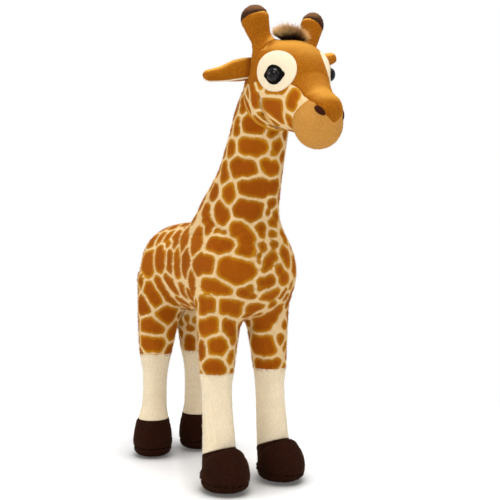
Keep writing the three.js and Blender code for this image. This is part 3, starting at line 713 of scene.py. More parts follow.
def fibres(roots: Array, outward: Array, lean: Array, lengths: Array, widths: Array, bends: int = 1,
           curl: Array | None = None) -> tuple[dict[str, Array], Array, int]:
    """Three-sided tapering fibres, each closed.

    Ring k of n sits at root + t length lean + t^2 length curl, with t = k / n. Its three corners are
    (1 - t)^0.6 width away, two across and one above, and the last point is the tip.

    Args:
        roots: Where each starts.
        outward: The skin's outward direction there.
        lean: The direction that each grows in.
        lengths: How long each is.
        widths: How wide each is at its root.
        bends: Rings along a fibre.
        curl: How each bends away, as a share of its length.

    Returns:
        Arrays for put_mesh, how far along its fibre each vertex is, and the vertices of each fibre.
    """
    count = len(roots)
    across = unit(np.cross(outward, lean))
    above = np.cross(lean, across)
    curl = np.zeros_like(roots) if curl is None else curl
    steps = np.arange(bends) / bends
    path = (roots[:, None] + (lengths[:, None] * steps)[..., None] * lean[:, None]
            + (lengths[:, None] * steps ** 2)[..., None] * curl[:, None])
    taper = (widths[:, None] * (1 - steps) ** 0.6)[..., None, None]
    corner = np.array([0.5, 0.0, -0.5])[:, None] * across[:, None, None] + \
        np.array([0.0, 0.5, 0.0])[:, None] * above[:, None, None]
    rings = (path[:, :, None] + taper * corner).reshape(count, -1, 3)
    tips = roots + lengths[:, None] * (lean + curl)
    points = np.concatenate([rings, tips[:, None]], 1)
    each = 3 * bends + 1
    faces = [(0, 2, 1)]
    for ring in range(bends):
        for corner_at in range(3):
            low, low_next = 3 * ring + corner_at, 3 * ring + (corner_at + 1) % 3
            if ring == bends - 1:
                faces.append((low, low_next, each - 1))
            else:
                faces += [(low, low_next, low_next + 3), (low, low_next + 3, low + 3)]
    triangles = (np.array(faces)[None] + each * np.arange(count)[:, None, None]).reshape(-1, 3)
    tip = np.append(np.repeat(steps, 3), 1.0)
    wide = math.ceil(math.sqrt(count))
    cell = np.stack([np.arange(count) % wide, np.arange(count) // wide], -1)[:, None]
    inside = np.stack([np.append(np.tile([0.2, 0.5, 0.8], bends), 0.5), 0.15 + 0.7 * tip], -1)
    bulge = (points - points.mean(1, keepdims=True)) / lengths[:, None, None]
    normals = unit(outward[:, None] * 0.8 + bulge * 0.5)
    mesh = {"points": points.reshape(-1, 3), "corners": triangles.ravel(),
            "sizes": np.full(len(triangles), 3), "cells": ((cell + inside[None]) / wide).reshape(-1, 2),
            "normals": normals.reshape(-1, 3)}
    return mesh, np.tile(tip, count), each


@dataclass(frozen=True)
class Pile:
    """Short fibres sown over a skin.

    Attributes:
        length: How long a fibre is.
        width: How wide it is at its root.
        lift: How far it stands off the skin, in degrees.
        density: Fibres per square metre.
        spread: How much the directions differ.
        bends: Rings along a fibre.
        sink: How far its root sits under the skin.
    """

    length: float = 3.0 * MM
    width: float = 0.62 * MM
    lift: float = 30.0
    density: float = 0.62e6
    spread: float = 0.45
    bends: int = 1
    sink: float = 0.35 * MM

    def sow(self, name: str, surface: Surface, show: Array, finish: Finish,
            rng: np.random.Generator) -> bpy.types.Object:
        """Grows the fibres where the skin shows.

        Triangles are drawn by their area, and a root sits at a random point of its triangle. It leans
        along the lay of the pile, lifted off the skin and turned a little at random.

        Args:
            name: The piece's name.
            surface: The skin.
            show: For each vertex, 1 where the skin shows.
            finish: What the fibres are dressed in.
            rng: The source of random draws.

        Returns:
            The new object.
        """
        triangles = surface.triangles()
        a, b, c = (surface.points[triangles[:, corner]] for corner in range(3))
        area = np.linalg.norm(np.cross(b - a, c - a), axis=1) / 2
        area = area * (show[triangles].min(1) > 0.5)
        total = int(area.sum() * self.density * (1.0))
        total = min(total, MOST_FACES // (6 * self.bends - 2))
        pick = triangles[rng.choice(len(triangles), total, p=area / area.sum())]
        share = rng.random((total, 2))
        share = np.where(share.sum(1, keepdims=True) > 1, 1 - share, share)
        share = np.column_stack([1 - share.sum(1), share])

        def at(values: Array) -> Array:
            return (values[pick] * share.reshape(total, 3, *[1] * (values.ndim - 1))).sum(1)

        outward = unit(at(surface.normals()))
        lay = at(surface.lay) + rng.normal(0, self.spread, (total, 3))
        lay = unit(lay - outward * dot(lay, outward)[:, None])
        lift = np.radians(self.lift * rng.uniform(0.5, 1.5, total))[:, None]
        lean = lay * np.cos(lift) + outward * np.sin(lift)
        lengths = self.length * rng.uniform(0.65, 1.2, total)
        widths = self.width * rng.uniform(0.75, 1.25, total)
        mesh, tip, each = fibres(at(surface.points) - outward * self.sink, outward, lean, lengths, widths,
                                 self.bends)
        marks = {key: np.repeat(at(values), each) for key, values in surface.marks.items()}
        # Tip runs from the darker root, which is painted shade, to the paler tip.
        marks["tip"] = tip * np.repeat(rng.uniform(0.6, 1.0, total), each)
        return put_mesh(name, finish=finish, marks=marks, **mesh)


# The camera of the studio picture and places that are read in it

@dataclass(frozen=True)
class Viewpoint:
    """Where the studio camera stands, and how a place in its picture becomes a line into the scene."""

    place: tuple[float, float, float] = (-0.5158, -0.8049, 0.2759)
    tilt: float = 88.7
    turn: float = -34.0
    lens: float = 61.2
    sensor: float = 36.0
    frame_pixels: float = 500.0

    def angles(self) -> Euler:
        """How the camera is turned."""
        return Euler((math.radians(self.tilt), 0.0, math.radians(self.turn)))

    def make(self) -> None:
        """Creates the camera and makes it the scene's own."""
        data = bpy.data.cameras.new("studio_camera")
        data.lens, data.sensor_width = self.lens, self.sensor
        data.clip_start, data.clip_end = 0.05, 20.0
        camera = bpy.data.objects.new("studio_camera", data)
        camera.location = self.place
        camera.rotation_euler = self.angles()
        bpy.context.scene.collection.objects.link(camera)
        bpy.context.scene.camera = camera

    def reach(self) -> float:
        """How many pixels one unit across makes at one unit away."""
        return self.lens / self.sensor * self.frame_pixels

    def ways(self, pixels: Array) -> Array:
        """The direction from the camera through each place of the picture."""
        half = self.frame_pixels / 2
        flat = np.column_stack([(pixels[:, 0] - half) / self.reach(), -(pixels[:, 1] - half) / self.reach(),
                                -np.ones(len(pixels))])
        return unit(flat @ np.array(self.angles().to_matrix()).T)

    def on(self, tree: BVHTree, pixels: Array) -> tuple[Array, Array]:
        """Where lines through places of the picture first meet a skin.

        Args:
            tree: The skin's faces.
            pixels: Rows of x and y.

        Returns:
            The points that were met and the row number of each.
        """
        found, rows = [], []
        for row, way in enumerate(self.ways(pixels)):
            hit, *_ = tree.ray_cast(Vector(self.place), Vector(way))
            if hit is not None:
                found.append(tuple(hit))
                rows.append(row)
        return np.array(found).reshape(-1, 3), np.array(rows, int)


def tree_of(surfaces: list[Surface]) -> BVHTree:
    """One search tree over several skins."""
    points, faces, start = [], [], 0
    for surface in surfaces:
        points.append(surface.points)
        faces.append(surface.triangles() + start)
        start += len(surface.points)
    return BVHTree.FromPolygons(np.vstack(points).tolist(), np.vstack(faces).tolist())


@dataclass
class Print:
    """Patches printed on the cloth, each a cluster of discs.

    The reach to a patch is the least distance to its discs less their radii, and its margin is half the
    difference between the reach to the next patch and its own, less half the cream line between them.
    """

    line: float = 2.7 * MM
    grow: float = 1.1
    spare: float = 3.2 * MM
    discs: Array = field(default_factory=lambda: np.zeros((0, 4)))
    owners: Array = field(default_factory=lambda: np.zeros(0, int))

    def add(self, centres: Array, radii: Array, owners: Array) -> None:
        """Adds discs, with the patch that each belongs to."""
        base = self.owners.max() + 1 if len(self.owners) else 0
        self.discs = np.vstack([self.discs, np.column_stack([centres, radii])])
        self.owners = np.concatenate([self.owners, base + owners])

    def read(self, view: Viewpoint, tree: BVHTree, patches: tuple) -> None:
        """Adds the patches that are seen in the picture, each a row of x, y and radius for every disc."""
        rows = np.array([(*patch[at:at + 3], owner) for owner, patch in enumerate(patches)
                         for at in range(0, len(patch), 3)])
        found, kept = view.on(tree, rows[:, :2])
        away = np.linalg.norm(found - np.array(view.place), axis=1)
        self.add(found, rows[kept, 2] * self.grow * away / view.reach(), rows[kept, 3].astype(int))
        log.info("print: %d of %d seen discs found their cloth", len(kept), len(rows))

    def fill(self, spots: Array, sizes: tuple[tuple[float, float], ...], rng: np.random.Generator) -> None:
        """Adds patches on the cloth that the picture doesn't show, wherever one of its size has room.

        Args:
            spots: Places on the cloth, in random order.
            sizes: Ranges of radius, tried one after another.
            rng: The source of random draws.
        """
        for least, most in sizes:
            radii = rng.uniform(least, most, len(spots))
            for spot, radius in zip(spots, radii):
                gap = np.linalg.norm(self.discs[:, :3] - spot, axis=1) - self.discs[:, 3]
                if gap.min() > radius + self.line:
                    self.add(spot[None], np.array([radius]), np.zeros(1, int))

    def marks(self, points: Array) -> dict[str, Array]:
        """The margin in millimetres and the tint of the patch at each point."""
        order = np.argsort(self.owners, kind="stable")
        discs, owners = self.discs[order], self.owners[order]
        starts = np.nonzero(np.diff(owners, prepend=-1))[0]
        tints = np.random.default_rng(SEED).random(len(starts))
        margin, tint = np.empty(len(points)), np.empty(len(points))
        for low in range(0, len(points), 4000):
            some = points[low:low + 4000]
            reach = np.linalg.norm(some[:, None] - discs[None, :, :3], axis=2) - discs[:, 3]
            reach = np.minimum.reduceat(reach, starts, axis=1)
            own = reach.argmin(1)
            row = np.arange(len(some))
            nearest = reach[row, own]
            reach[row, own] = np.inf
            closest = reach.min(1)
            round_off = 1.6 * MM
            others = closest - round_off * np.log(np.exp(-(reach - closest[:, None]) / round_off).sum(1))
            inner = (others - nearest) / 2 - self.line / 2
            margin[low:low + 4000] = np.minimum(inner, self.spare - nearest) / MM
            tint[low:low + 4000] = tints[own]
        return {"margin": margin, "tint": tint}


# Patches seen in the picture: x, y and radius in pixels for each disc of a patch
NECK_PATCHES = (
    (243, 101, 4, 243, 109, 4.5), (250, 124, 9.5, 257, 127, 8), (237, 129, 5.5, 238, 121, 4),
    (247, 146, 9.5, 256, 147, 10, 264, 148, 7.5), (231, 148, 7), (272, 134, 5), (276, 146, 7.5, 272, 152, 5),
    (285, 135, 3), (282, 156, 4), (239, 167, 9.5, 248, 168, 9.5), (224, 166, 5, 225, 176, 6),
    (266, 163, 7, 272, 168, 8), (214, 192, 6.5), (229, 190, 6.5, 229, 196, 6.5),
    (245, 186, 7, 254, 187, 9.5, 263, 188, 9, 273, 188, 8), (220, 208, 5.5, 222, 215, 7.5, 222, 221, 4.5),
    (242, 209, 8.5, 251, 211, 10, 259, 210, 7), (272, 203, 6, 267, 212, 4.5), (275, 214, 5, 272, 222, 5),
    (238, 230, 9, 246, 238, 9, 247, 250, 9, 241, 252, 6), (261, 228, 5.5, 262, 234, 3.5), (272, 234, 4.5),
    (274, 244, 4), (262, 247, 4, 259, 256, 4, 258, 262, 3), (283, 234, 3.5, 286, 241, 3),
    (206, 210, 5.5, 206, 219, 5, 209, 227, 6.5), (195, 218, 5.5), (217, 230, 3, 224, 233, 3),
)
FLANK_PATCHES = (
    (198, 236, 9, 196.5, 245, 9), (214, 244, 7.5, 222, 245, 9, 228, 245, 7.5), (185, 234, 7.5, 184, 243, 8),
    (198.5, 264, 9, 207, 264, 9), (228, 267, 10.5, 238, 270, 13, 247, 270, 10),
    (208, 286, 7.5, 216, 288, 7, 225, 291, 5), (191.5, 280, 8, 192, 288, 8.5, 192, 297, 7.5),
    (185.5, 257, 6.5, 186, 263, 9, 185.5, 269, 7), (177, 255, 6.5, 177, 264, 7, 178, 272, 6),
    (169.5, 254, 5, 169.5, 261, 5.5, 169.5, 268, 5), (160, 250, 6, 159.3, 260, 11), (148.5, 264, 13),
    (153, 241, 8), (161, 238, 7.5), (168, 237, 7, 169, 243, 5), (176, 236, 7, 176, 243, 6), (141, 281, 6),
    (149, 289, 8, 153, 297, 8.5, 156, 301, 6), (158, 281, 5, 161, 287, 5.5, 165, 293, 5.5, 170, 299, 5.5,
    176, 304, 5), (168, 279, 5, 171, 284, 5.5, 175, 290, 4.5), (182, 287, 4.5, 184, 293, 4.5),
    (181, 301, 4.5, 186, 303, 4), (143, 306, 9), (167, 315, 9.5), (179, 315, 3.5),
)
LEG_PATCHES = (
    (188, 319, 3, 190, 327, 2.5), (189, 340, 4, 189, 347, 4), (193, 320, 2.5),
    (205, 304, 7.5, 210, 304, 7.5, 203, 309, 6), (226, 306, 8, 236, 310, 8, 240, 304, 4),
    (205, 327, 8, 211, 325, 8), (228, 325, 6.5, 231, 333, 5, 232, 341, 4), (215, 346, 7.5, 221, 346, 8),
    (231, 354, 4, 229, 361, 3), (202, 347, 5, 201, 354, 4.5), (208, 367, 5, 215, 366, 6.5, 221, 367, 5),
    (148, 326, 9, 156, 328, 8), (148, 342, 8.5, 156, 343, 8), (175, 327, 6, 172, 333, 6),
    (170, 350, 5.5, 173, 345, 3.5), (232, 371, 2),
)
CHEST_PATCHES = (
    (268, 262, 6.5, 273, 257, 5, 265, 269, 4), (284, 253, 5.5, 287, 261, 4.5), (279, 269, 4.5, 284, 279, 5),
    (261, 283, 5.5, 269, 280, 5.5, 258, 288, 4), (245, 293, 5.5, 252, 289, 5, 254, 296, 3.5),
    (264, 298, 5, 272, 296, 5, 277, 293, 3.5, 273, 304, 3), (286, 297, 4),
    (250, 309, 6.5, 258, 306, 5, 248, 315, 4), (262, 322, 8, 270, 316, 7, 279, 308, 6, 258, 327, 5),
    (247, 328, 3.5, 249, 335, 2.5), (285, 324, 3), (258, 344, 8.5, 266, 346, 9), (280, 340, 4),
    (285, 346, 3), (260, 365, 5, 268, 365, 5, 276, 364, 4),
)
CHEEK_PATCHES = (
    (252, 88, 4.5, 254, 97, 5.5, 255, 104, 4),
    (268, 90.5, 3.2, 272, 91.5, 3.2, 276, 91.5, 3.2, 280, 90, 3.2, 284, 88.3, 2.8),
    (269, 105, 7, 272.5, 104.5, 7, 276, 106, 8, 277.5, 114.5, 8.5), (293, 96, 5.5, 291, 104, 5),
    (288, 119, 4, 290.5, 125, 3),
    (261, 115, 2.8, 263.5, 118.5, 2.6), (272, 126, 2.6, 277, 127.6, 2.8, 283, 129, 2.6),
)

# Radii of the spots that fill the cloth where the picture doesn't show it, large ones first
BODY_SPOTS = ((9.5 * MM, 12.5 * MM), (7 * MM, 9 * MM), (4.5 * MM, 6 * MM))
CHEEK_SPOTS = ((8 * MM, 10.5 * MM), (5 * MM, 7 * MM), (3 * MM, 4.5 * MM))
TAIL_SPOTS = ((5.5 * MM, 7.5 * MM), (3 * MM, 4.5 * MM))

# Folds seen in the picture: depth and width in millimetres, then the line's places in pixels
FOLDS = (
    (2.6, 1.8, (205, 217), (210, 222), (216, 226), (223, 230), (231, 236), (237, 240)),
    (1.0, 1.6, (237, 240), (245, 243), (254, 243), (262, 240)),
    (1.8, 1.8, (156, 281), (163, 290), (169, 299), (177, 306), (184, 310)),
    (1.4, 1.6, (163, 277), (168, 287), (175, 295), (184, 300)),
    (1.3, 1.6, (166, 238), (166, 252), (167, 264), (171, 276), (178, 287)),
    (1.2, 1.5, (172, 232), (172, 246), (173, 260), (177, 274), (182, 285)),
    (1.3, 1.6, (179, 228), (179, 242), (180, 256), (183, 268), (184, 280), (188, 298)),
    (1.0, 1.6, (203, 296), (214, 297), (226, 295), (235, 297)),
    (1.1, 1.6, (254, 285), (253, 296), (250, 303)),
)


# The toy's sub-assemblies

@dataclass(frozen=True)
class TorsoSizes:
    """The torso, and its form as shares: ahead, up, half width, half depth."""

    height: float = 232.5 * MM
    length: float = 237 * MM
    width: float = 113 * MM
    depth: float = 103.5 * MM
    cap: float = 14 * MM
    shares: Table = (
        (-0.443, 0.102, 0.289, 0.306), (-0.376, 0.062, 0.402, 0.418), (-0.243, 0.02, 0.429, 0.489),
        (-0.065, 0, 0.42, 0.489), (0.113, 0, 0.462, 0.5), (0.247, 0, 0.499, 0.5),
        (0.362, 0.031, 0.486, 0.479), (0.438, 0.071, 0.355, 0.357))
    neck_ahead: float = 0.184
    neck_up: float = 0.204


@dataclass(frozen=True)
class NeckSizes:
    """The neck, and its form as shares: reach, rise, half width, half depth."""

    rise: float = 171 * MM
    reach: float = 76 * MM
    width: float = 62 * MM
    root_cap: float = 34 * MM
    shares: Table = (
        (0, 0, 0.64, 1.05), (0.153, 0.179, 0.64, 0.935), (0.305, 0.327, 0.565, 0.75),
        (0.445, 0.457, 0.519, 0.621), (0.562, 0.587, 0.502, 0.545), (0.667, 0.71, 0.485, 0.494),
        (0.778, 0.84, 0.468, 0.468), (1, 1, 0.426, 0.426))


@dataclass(frozen=True)
class LegSizes:
    """A pair of legs, and their form as shares: height in the stretch, out, ahead, half width, half depth."""

    place: float
    track: float
    sock_top: float
    hoof_height: float
    hoof_width: float
    hoof_length: float
    tilt: float
    thigh: Table
    shank: Table
    hoof: Table
    top: float = 205 * MM
    top_cap: float = 20 * MM
    width: float = 53 * MM
    shank_width: float = 32 * MM
    sole: float = 11.5 * MM
    sole_power: float = 2.5
    floor_cut: float = 0.5 * MM


FRONT = LegSizes(
    0.278, 73 * MM, 125 * MM, 43 * MM, 49.5 * MM, 61 * MM, 22.0,
    ((1, 0.81, -0.02, 0.5, 0.517), (0.475, 0.896, -0.01, 0.408, 0.419), (0, 0.951, 0, 0.342, 0.347)),
    ((0.7, 0.956, 0.005, 0.494, 0.509), (0.22, 0.962, 0.062, 0.516, 0.565)),
    ((0.85, 0.973, 0.115, 0.37, 0.32), (0.6, 0.986, 0.235, 0.48, 0.46), (0.4, 1, 0.305, 0.5, 0.5),
     (0.25, 1, 0.312, 0.478, 0.474)))
HIND = LegSizes(
    -0.363, 64.5 * MM, 128 * MM, 45 * MM, 46.5 * MM, 49.5 * MM, 0.0,
    ((1.1, 0.735, 0.128, 0.528, 0.617), (0.5, 0.835, 0.06, 0.457, 0.469), (0, 0.899, 0, 0.364, 0.368)),
    ((0.65, 0.907, -0.023, 0.453, 0.466), (0.22, 0.928, -0.038, 0.462, 0.475)),
    ((1, 0.961, -0.043, 0.398, 0.384), (0.81, 0.983, -0.043, 0.454, 0.448), (0.435, 1, -0.043, 0.5, 0.5),
     (0.24, 1, -0.043, 0.484, 0.476)))


@dataclass
class Frame:
    """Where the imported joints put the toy's landmarks."""

    joints: list

    def __post_init__(self) -> None:
        """Reads the joint between the neck and the head."""
        self.nod = np.array(self.joint("head_nod")["pos_m"])

    def joint(self, name: str) -> dict:
        """One joint of the record."""
        return next(joint for joint in self.joints if joint["name"] == name)

    @staticmethod
    def middle(node: str) -> Array:
        """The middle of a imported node's box."""
        low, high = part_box(node)
        return np.array((low + high) / 2)


class Side(Enum):
    """The toy's two sides, by the sign of X."""

    right = -1
    left = 1

    def of(self, pair: tuple):
        """This side's own value of a pair that is written right, left."""
        return pair[0] if self is Side.right else pair[1]


def dress(piece: bpy.types.Object, body: str, nodes: tuple[str, ...] = ()) -> None:
    """Says what a piece rides on and which nodes it stands for."""
    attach(piece, body)
    if nodes:
        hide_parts(*nodes)
    log.info("%s: %d faces", piece.name, len(piece.data.polygons))


def clothe(name: str, skin: Surface, finish: Finish, pile: Pile, show: Array, rng: np.random.Generator,
           body: str, nodes: tuple[str, ...] = ()) -> None:
    """Makes a skin and its pile into pieces of the same finish.

    Args:
        name: What both names begin with.
        skin: The skin.
        finish: What both are dressed in.
        pile: The fibres.
        show: For each vertex, 1 where the skin shows.
        rng: The source of random draws.
        body: What both ride on.
        nodes: The nodes that the skin stands for.
    """
    dress(skin.piece(f"{name}_skin", finish), body, nodes)
    dress(pile.sow(f"{name}_pile", skin, show, finish, rng), body)


@dataclass
class Body:
    """The torso, the neck and the spotted parts of the legs, drawn into one smooth skin."""

    place: Frame
    view: Viewpoint
    rng: np.random.Generator
    torso: TorsoSizes = TorsoSizes()
    neck: NeckSizes = NeckSizes()
    neck_fillet: float = 26 * MM
    leg_fillet: float = 15 * MM
    step: float = 1.5 * MM
    bend_start: float = 0.5
    bend_end: float = 0.86

    def __post_init__(self) -> None:
        """Works out the limbs from the named sizes."""
        sizes, neck = self.torso, self.neck
        root_y = self.place.nod[1] + neck.reach
        root_z = sizes.height + sizes.neck_up * sizes.depth
        middle = root_y + sizes.neck_ahead * sizes.length
        rows = np.array(sizes.shares)
        stations = np.column_stack([np.zeros(len(rows)), middle - rows[:, 0] * sizes.length,
                                    sizes.height + rows[:, 1] * sizes.depth, rows[:, 2] * sizes.width,
                                    rows[:, 3] * sizes.depth])
        self.limbs = {"torso": Limb(stations, sizes.cap, sizes.cap)}
        rows = np.array(neck.shares)
        stations = np.column_stack([np.zeros(len(rows)), root_y - rows[:, 0] * neck.reach,
                                    root_z + rows[:, 1] * neck.rise, rows[:, 2] * neck.width,
                                    rows[:, 3] * neck.width])
        self.limbs["neck"] = Limb(stations, neck.root_cap, rows[-1, 3] * neck.width)
        self.pairs = {"front": FRONT, "hind": HIND}
        for pair, leg in self.pairs.items():
            for side in Side:
                self.limbs[f"{pair}_{side.name}"] = self.leg_limb(leg, side.value, middle)
        fillets = {name: self.leg_fillet for name in self.limbs} | {"neck": self.neck_fillet}
        self.joined = Joined(self.limbs, fillets)

    def leg_limb(self, leg: LegSizes, side: int, middle: float) -> Limb:
        """One leg from inside the torso to its sole."""
        rows = []
        stretches = ((leg.thigh, leg.sock_top, leg.top, leg.width, leg.width),
                     (leg.shank, leg.hoof_height, leg.sock_top, leg.shank_width, leg.shank_width),
                     (leg.hoof, 0.0, leg.hoof_height, leg.hoof_width, leg.hoof_length))
        for shares, low, high, wide, deep in stretches:
            place = middle - leg.place * self.torso.length
            rows += [(side * out * leg.track / 2, place - ahead * leg.hoof_length, low + up * (high - low),
                      half_wide * wide, half_deep * deep)
                     for up, out, ahead, half_wide, half_deep in shares]
        return Limb(np.array(rows), leg.top_cap, rows[-1][2] + leg.floor_cut, leg.sole_power)

    def grid(self, name: str, end: Callable[[Array], Array] | None = None, cap_rings: int = 10) -> Surface:
        """One limb's skin with faces of about one step."""
        limb = self.limbs[name]
        girth = 2 * math.pi * limb.stations[:, 3:].max()
        sides = int(girth / self.step)
        cut = None if end is None else limb.crossing(sides, end)
        length = limb.run[-1] if cut is None else np.interp(cut.mean(), limb.places, limb.run)
        return limb.tube(int(length / self.step), sides, end=cut, cap_rings=cap_rings)

    def build(self) -> None:
        """Makes the skins, prints them, presses the folds in and sows the pile."""
        self.skins: dict[str, Surface] = {}
        self.covered: dict[str, Array] = {}
        for name in self.limbs:
            leg = self.pairs.get(name.split("_")[0])
            end = (lambda points, leg=leg: points[:, 2] - leg.sock_top) if leg else None
            skin = self.grid(name, end, 16 if name == "torso" else 10)
            self.skins[name] = skin

            def over(points: Array, gaps: dict[str, Array], name: str = name) -> Array:
                others = [values for key, values in gaps.items() if key != name]
                return gaps[name] - np.min(others, axis=0)

            self.covered[name] = self.joined.settle(skin, over)
            skin.lay = unit((-1 if name in ("torso", "neck") else 1) * skin.lay + 0.25 * DOWN)
        self.print_cloth()
        self.press_folds()
        for name in self.limbs:
            self.finish(name)

    def print_cloth(self) -> None:
        """Lays the patches over all the skins, so that they run on across the joins."""
        self.tree = tree_of(list(self.skins.values()))
        self.print = Print()
        self.print.read(self.view, self.tree, NECK_PATCHES + FLANK_PATCHES + LEG_PATCHES + CHEST_PATCHES)
        spots = []
        for name, skin in self.skins.items():
            facing = dot(skin.normals(), unit(np.array(self.view.place) - skin.points))
            spots.append(skin.points[(self.covered[name] < 0) & (facing < 0.25)])
        spots = np.vstack(spots)
        spots = spots[self.rng.permutation(len(spots))[:9000]]
        self.print.fill(spots, BODY_SPOTS, self.rng)
        for skin in self.skins.values():
            skin.marks = self.print.marks(skin.points)

    def press_folds(self) -> None:
        """Presses each fold in by depth e^-(gap / width)^2, with its twin on the far side."""
        normals = {name: skin.normals() for name, skin in self.skins.items()}
        push = {name: np.zeros(len(skin.points)) for name, skin in self.skins.items()}
        for depth, width, *line in FOLDS:
            found, _ = self.view.on(self.tree, np.array(line, float))
            if len(found) < 2:
                continue
            path = through(found, np.linspace(0, len(found) - 1, 60))
            for flip in (1.0, -1.0):
                twin = path * np.array([flip, 1.0, 1.0])
                ends = np.minimum(np.linspace(0, 6, 60), np.linspace(6, 0, 60)).clip(0, 1)
                for name, skin in self.skins.items():
                    gaps = np.linalg.norm(skin.points[:, None] - twin[None, ::3], axis=2)
                    near = gaps.argmin(1)
                    gap = gaps[np.arange(len(gaps)), near]
                    pressed = depth * MM * ends[::3][near] * np.exp(-(gap / (width * MM)) ** 2)
                    push[name] = np.maximum(push[name], pressed)
        for name, skin in self.skins.items():
            skin.points = skin.points - normals[name] * push[name][:, None]

    def finish(self, name: str) -> None:
        """Makes one skin and its pile into pieces that ride where the cloth does."""
        skin = self.skins[name]
        stem = name if name in ("torso", "neck") else f"{name}_leg"
        piece = skin.piece(f"{stem}_skin", PRINTED)
        show = (self.covered[name] < 0.3 * MM).astype(float)
        pile = Pile().sow(f"{stem}_pile", skin, show, PRINTED, self.rng)
        for part in (piece, pile):
            if name == "neck":
                self.bend(part)
            else:
                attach(part, "torso")
        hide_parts(f"{stem}_cover", f"{stem}_fill")
        log.info("%s: skin %d faces, pile %d faces", stem, len(piece.data.polygons), len(pile.data.polygons))

    def bend(self, piece: bpy.types.Object) -> None:
        """Bakes a neck piece's place into its mesh; it is not bent."""
        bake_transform(piece)


@dataclass
class Foot:
    """A sock, a hoof and its sole on one leg.

    Attributes:
        body: The body that it belongs to.
        pair: Front or hind.
        side: Right or left.
        step: About how long a face is.
        cap: The rings that round off each end of a part.
        tuck: How far the sock goes on under the hoof.
        drops: How far the ankle's seam lies below the limb's station, in front and behind.
        fibre: The pile of all three parts.
    """

    body: Body
    pair: str
    side: Side
    step: float = 1.3 * MM
    cap: int = 8
    tuck: float = 2.0 * MM
    drops: tuple[float, float] = (-2.5 * MM, 0.0)
    fibre: Pile = Pile(length=2.6 * MM, density=0.5e6, lift=24)

    def build(self) -> None:
        """Cuts the leg's skin at its seams and dresses each part."""
        name = f"{self.pair}_{self.side.name}"
        limb, leg = self.body.limbs[name], self.body.pairs[self.pair]
        sides = int(2 * math.pi * leg.hoof_length / 2 / self.step)
        slope = np.array([0.0, math.sin(math.radians(leg.tilt)), math.cos(math.radians(leg.tilt))])
        ankle = limb.stations[len(leg.thigh) + len(leg.shank), :3] - slope * self.drops[self.pair == "hind"]
        cuts = {
            "top": limb.crossing(sides, lambda points: points[:, 2] - leg.sock_top),
            "ankle": limb.crossing(sides, lambda points: (points - ankle) @ slope, last=True),
            "tucked": limb.crossing(sides, lambda points: (points - ankle) @ slope + self.tuck),
            "sole": limb.crossing(sides, lambda points: points[:, 2] - leg.sole),
        }
        parts = (("sock", "top", "tucked", CREAM, 100 * MM, FILL),
                 ("hoof", "ankle", "sole", HOOF, 50 * MM, FILL),
                 ("sole", "sole", None, HOOF, 6 * MM, None))
        for part, first, last, finish, tall, fill in parts:
            start, end = cuts[first], cuts[last] if last else None
            skin = limb.tube(max(int(tall / self.step), 5), sides, start, end, cap_rings=self.cap)
            height = (skin.points - ankle) @ slope
            self.shape(skin, height, slope, part)
            clothe(f"{name}_{part}", skin, finish, self.fibre, self.show(skin, height, part), self.body.rng,
                   "torso", (f"{name}_{part}",))

    def shape(self, skin: Surface, height: Array, slope: Array, part: str) -> None:
        """Draws the cloth in at its seams, lets the sock go under the hoof, and flattens the sole.

        Args:
            skin: The part's skin, changed in place.
            height: How far above the ankle's seam each vertex lies.
            slope: The way up from that seam.
            part: Which part it is.
        """
        rings = np.arange(skin.rings)
        edge = np.minimum(rings - self.cap + 1, skin.rings - self.cap - rings).clip(0) * self.step
        groove = 0.8 * MM * np.exp(-(edge / (1.6 * MM)) ** 2)
        half = skin.rings // 2
        if part in ("sock", "hoof"):
            groove[half:] *= part == "hoof"
            groove[:half] *= part == "sock"
        pull = np.append(np.repeat(groove, skin.sides), [0.0, 0.0])
        if part == "sock":
            skin.points = skin.points - np.outer(np.minimum(height + self.tuck, 0), slope)
            pull += 2.2 * MM * (1 - ease(height, -1.5 * MM, 1.5 * MM))
        if part == "hoof":
            skin.points = skin.points - np.outer(np.maximum(height, 0), slope)
            pull -= 0.5 * MM * np.exp(-(height / (4 * MM)) ** 2)
        if part == "sole":
            pull[len(pull) // 2:] = 0.0
        skin.points = skin.points - skin.normals() * pull[:, None]
        skin.points[:, 2] = np.maximum(skin.points[:, 2], 0.0)
        skin.lay = unit(skin.lay + 0.2 * DOWN)

    def show(self, skin: Surface, height: Array, part: str) -> Array:
        """1 where the cloth shows, away from the folded ends, the seam and the floor."""
        rings = np.arange(skin.rings)
        seen = ((rings >= self.cap - 1) & (rings <= skin.rings - self.cap)).astype(float)
        if skin.points[:, 2].min() < 1 * MM:
            seen[len(seen) // 2:] = 1.0
        shown = np.append(np.repeat(seen, skin.sides), [0.0, 0.0])
        if part == "sock":
            shown = shown * (height > 1.5 * MM)
        if part == "hoof":
            shown = shown * (height < -0.3 * MM)
        return shown * (skin.points[:, 2] > 1.2 * MM)


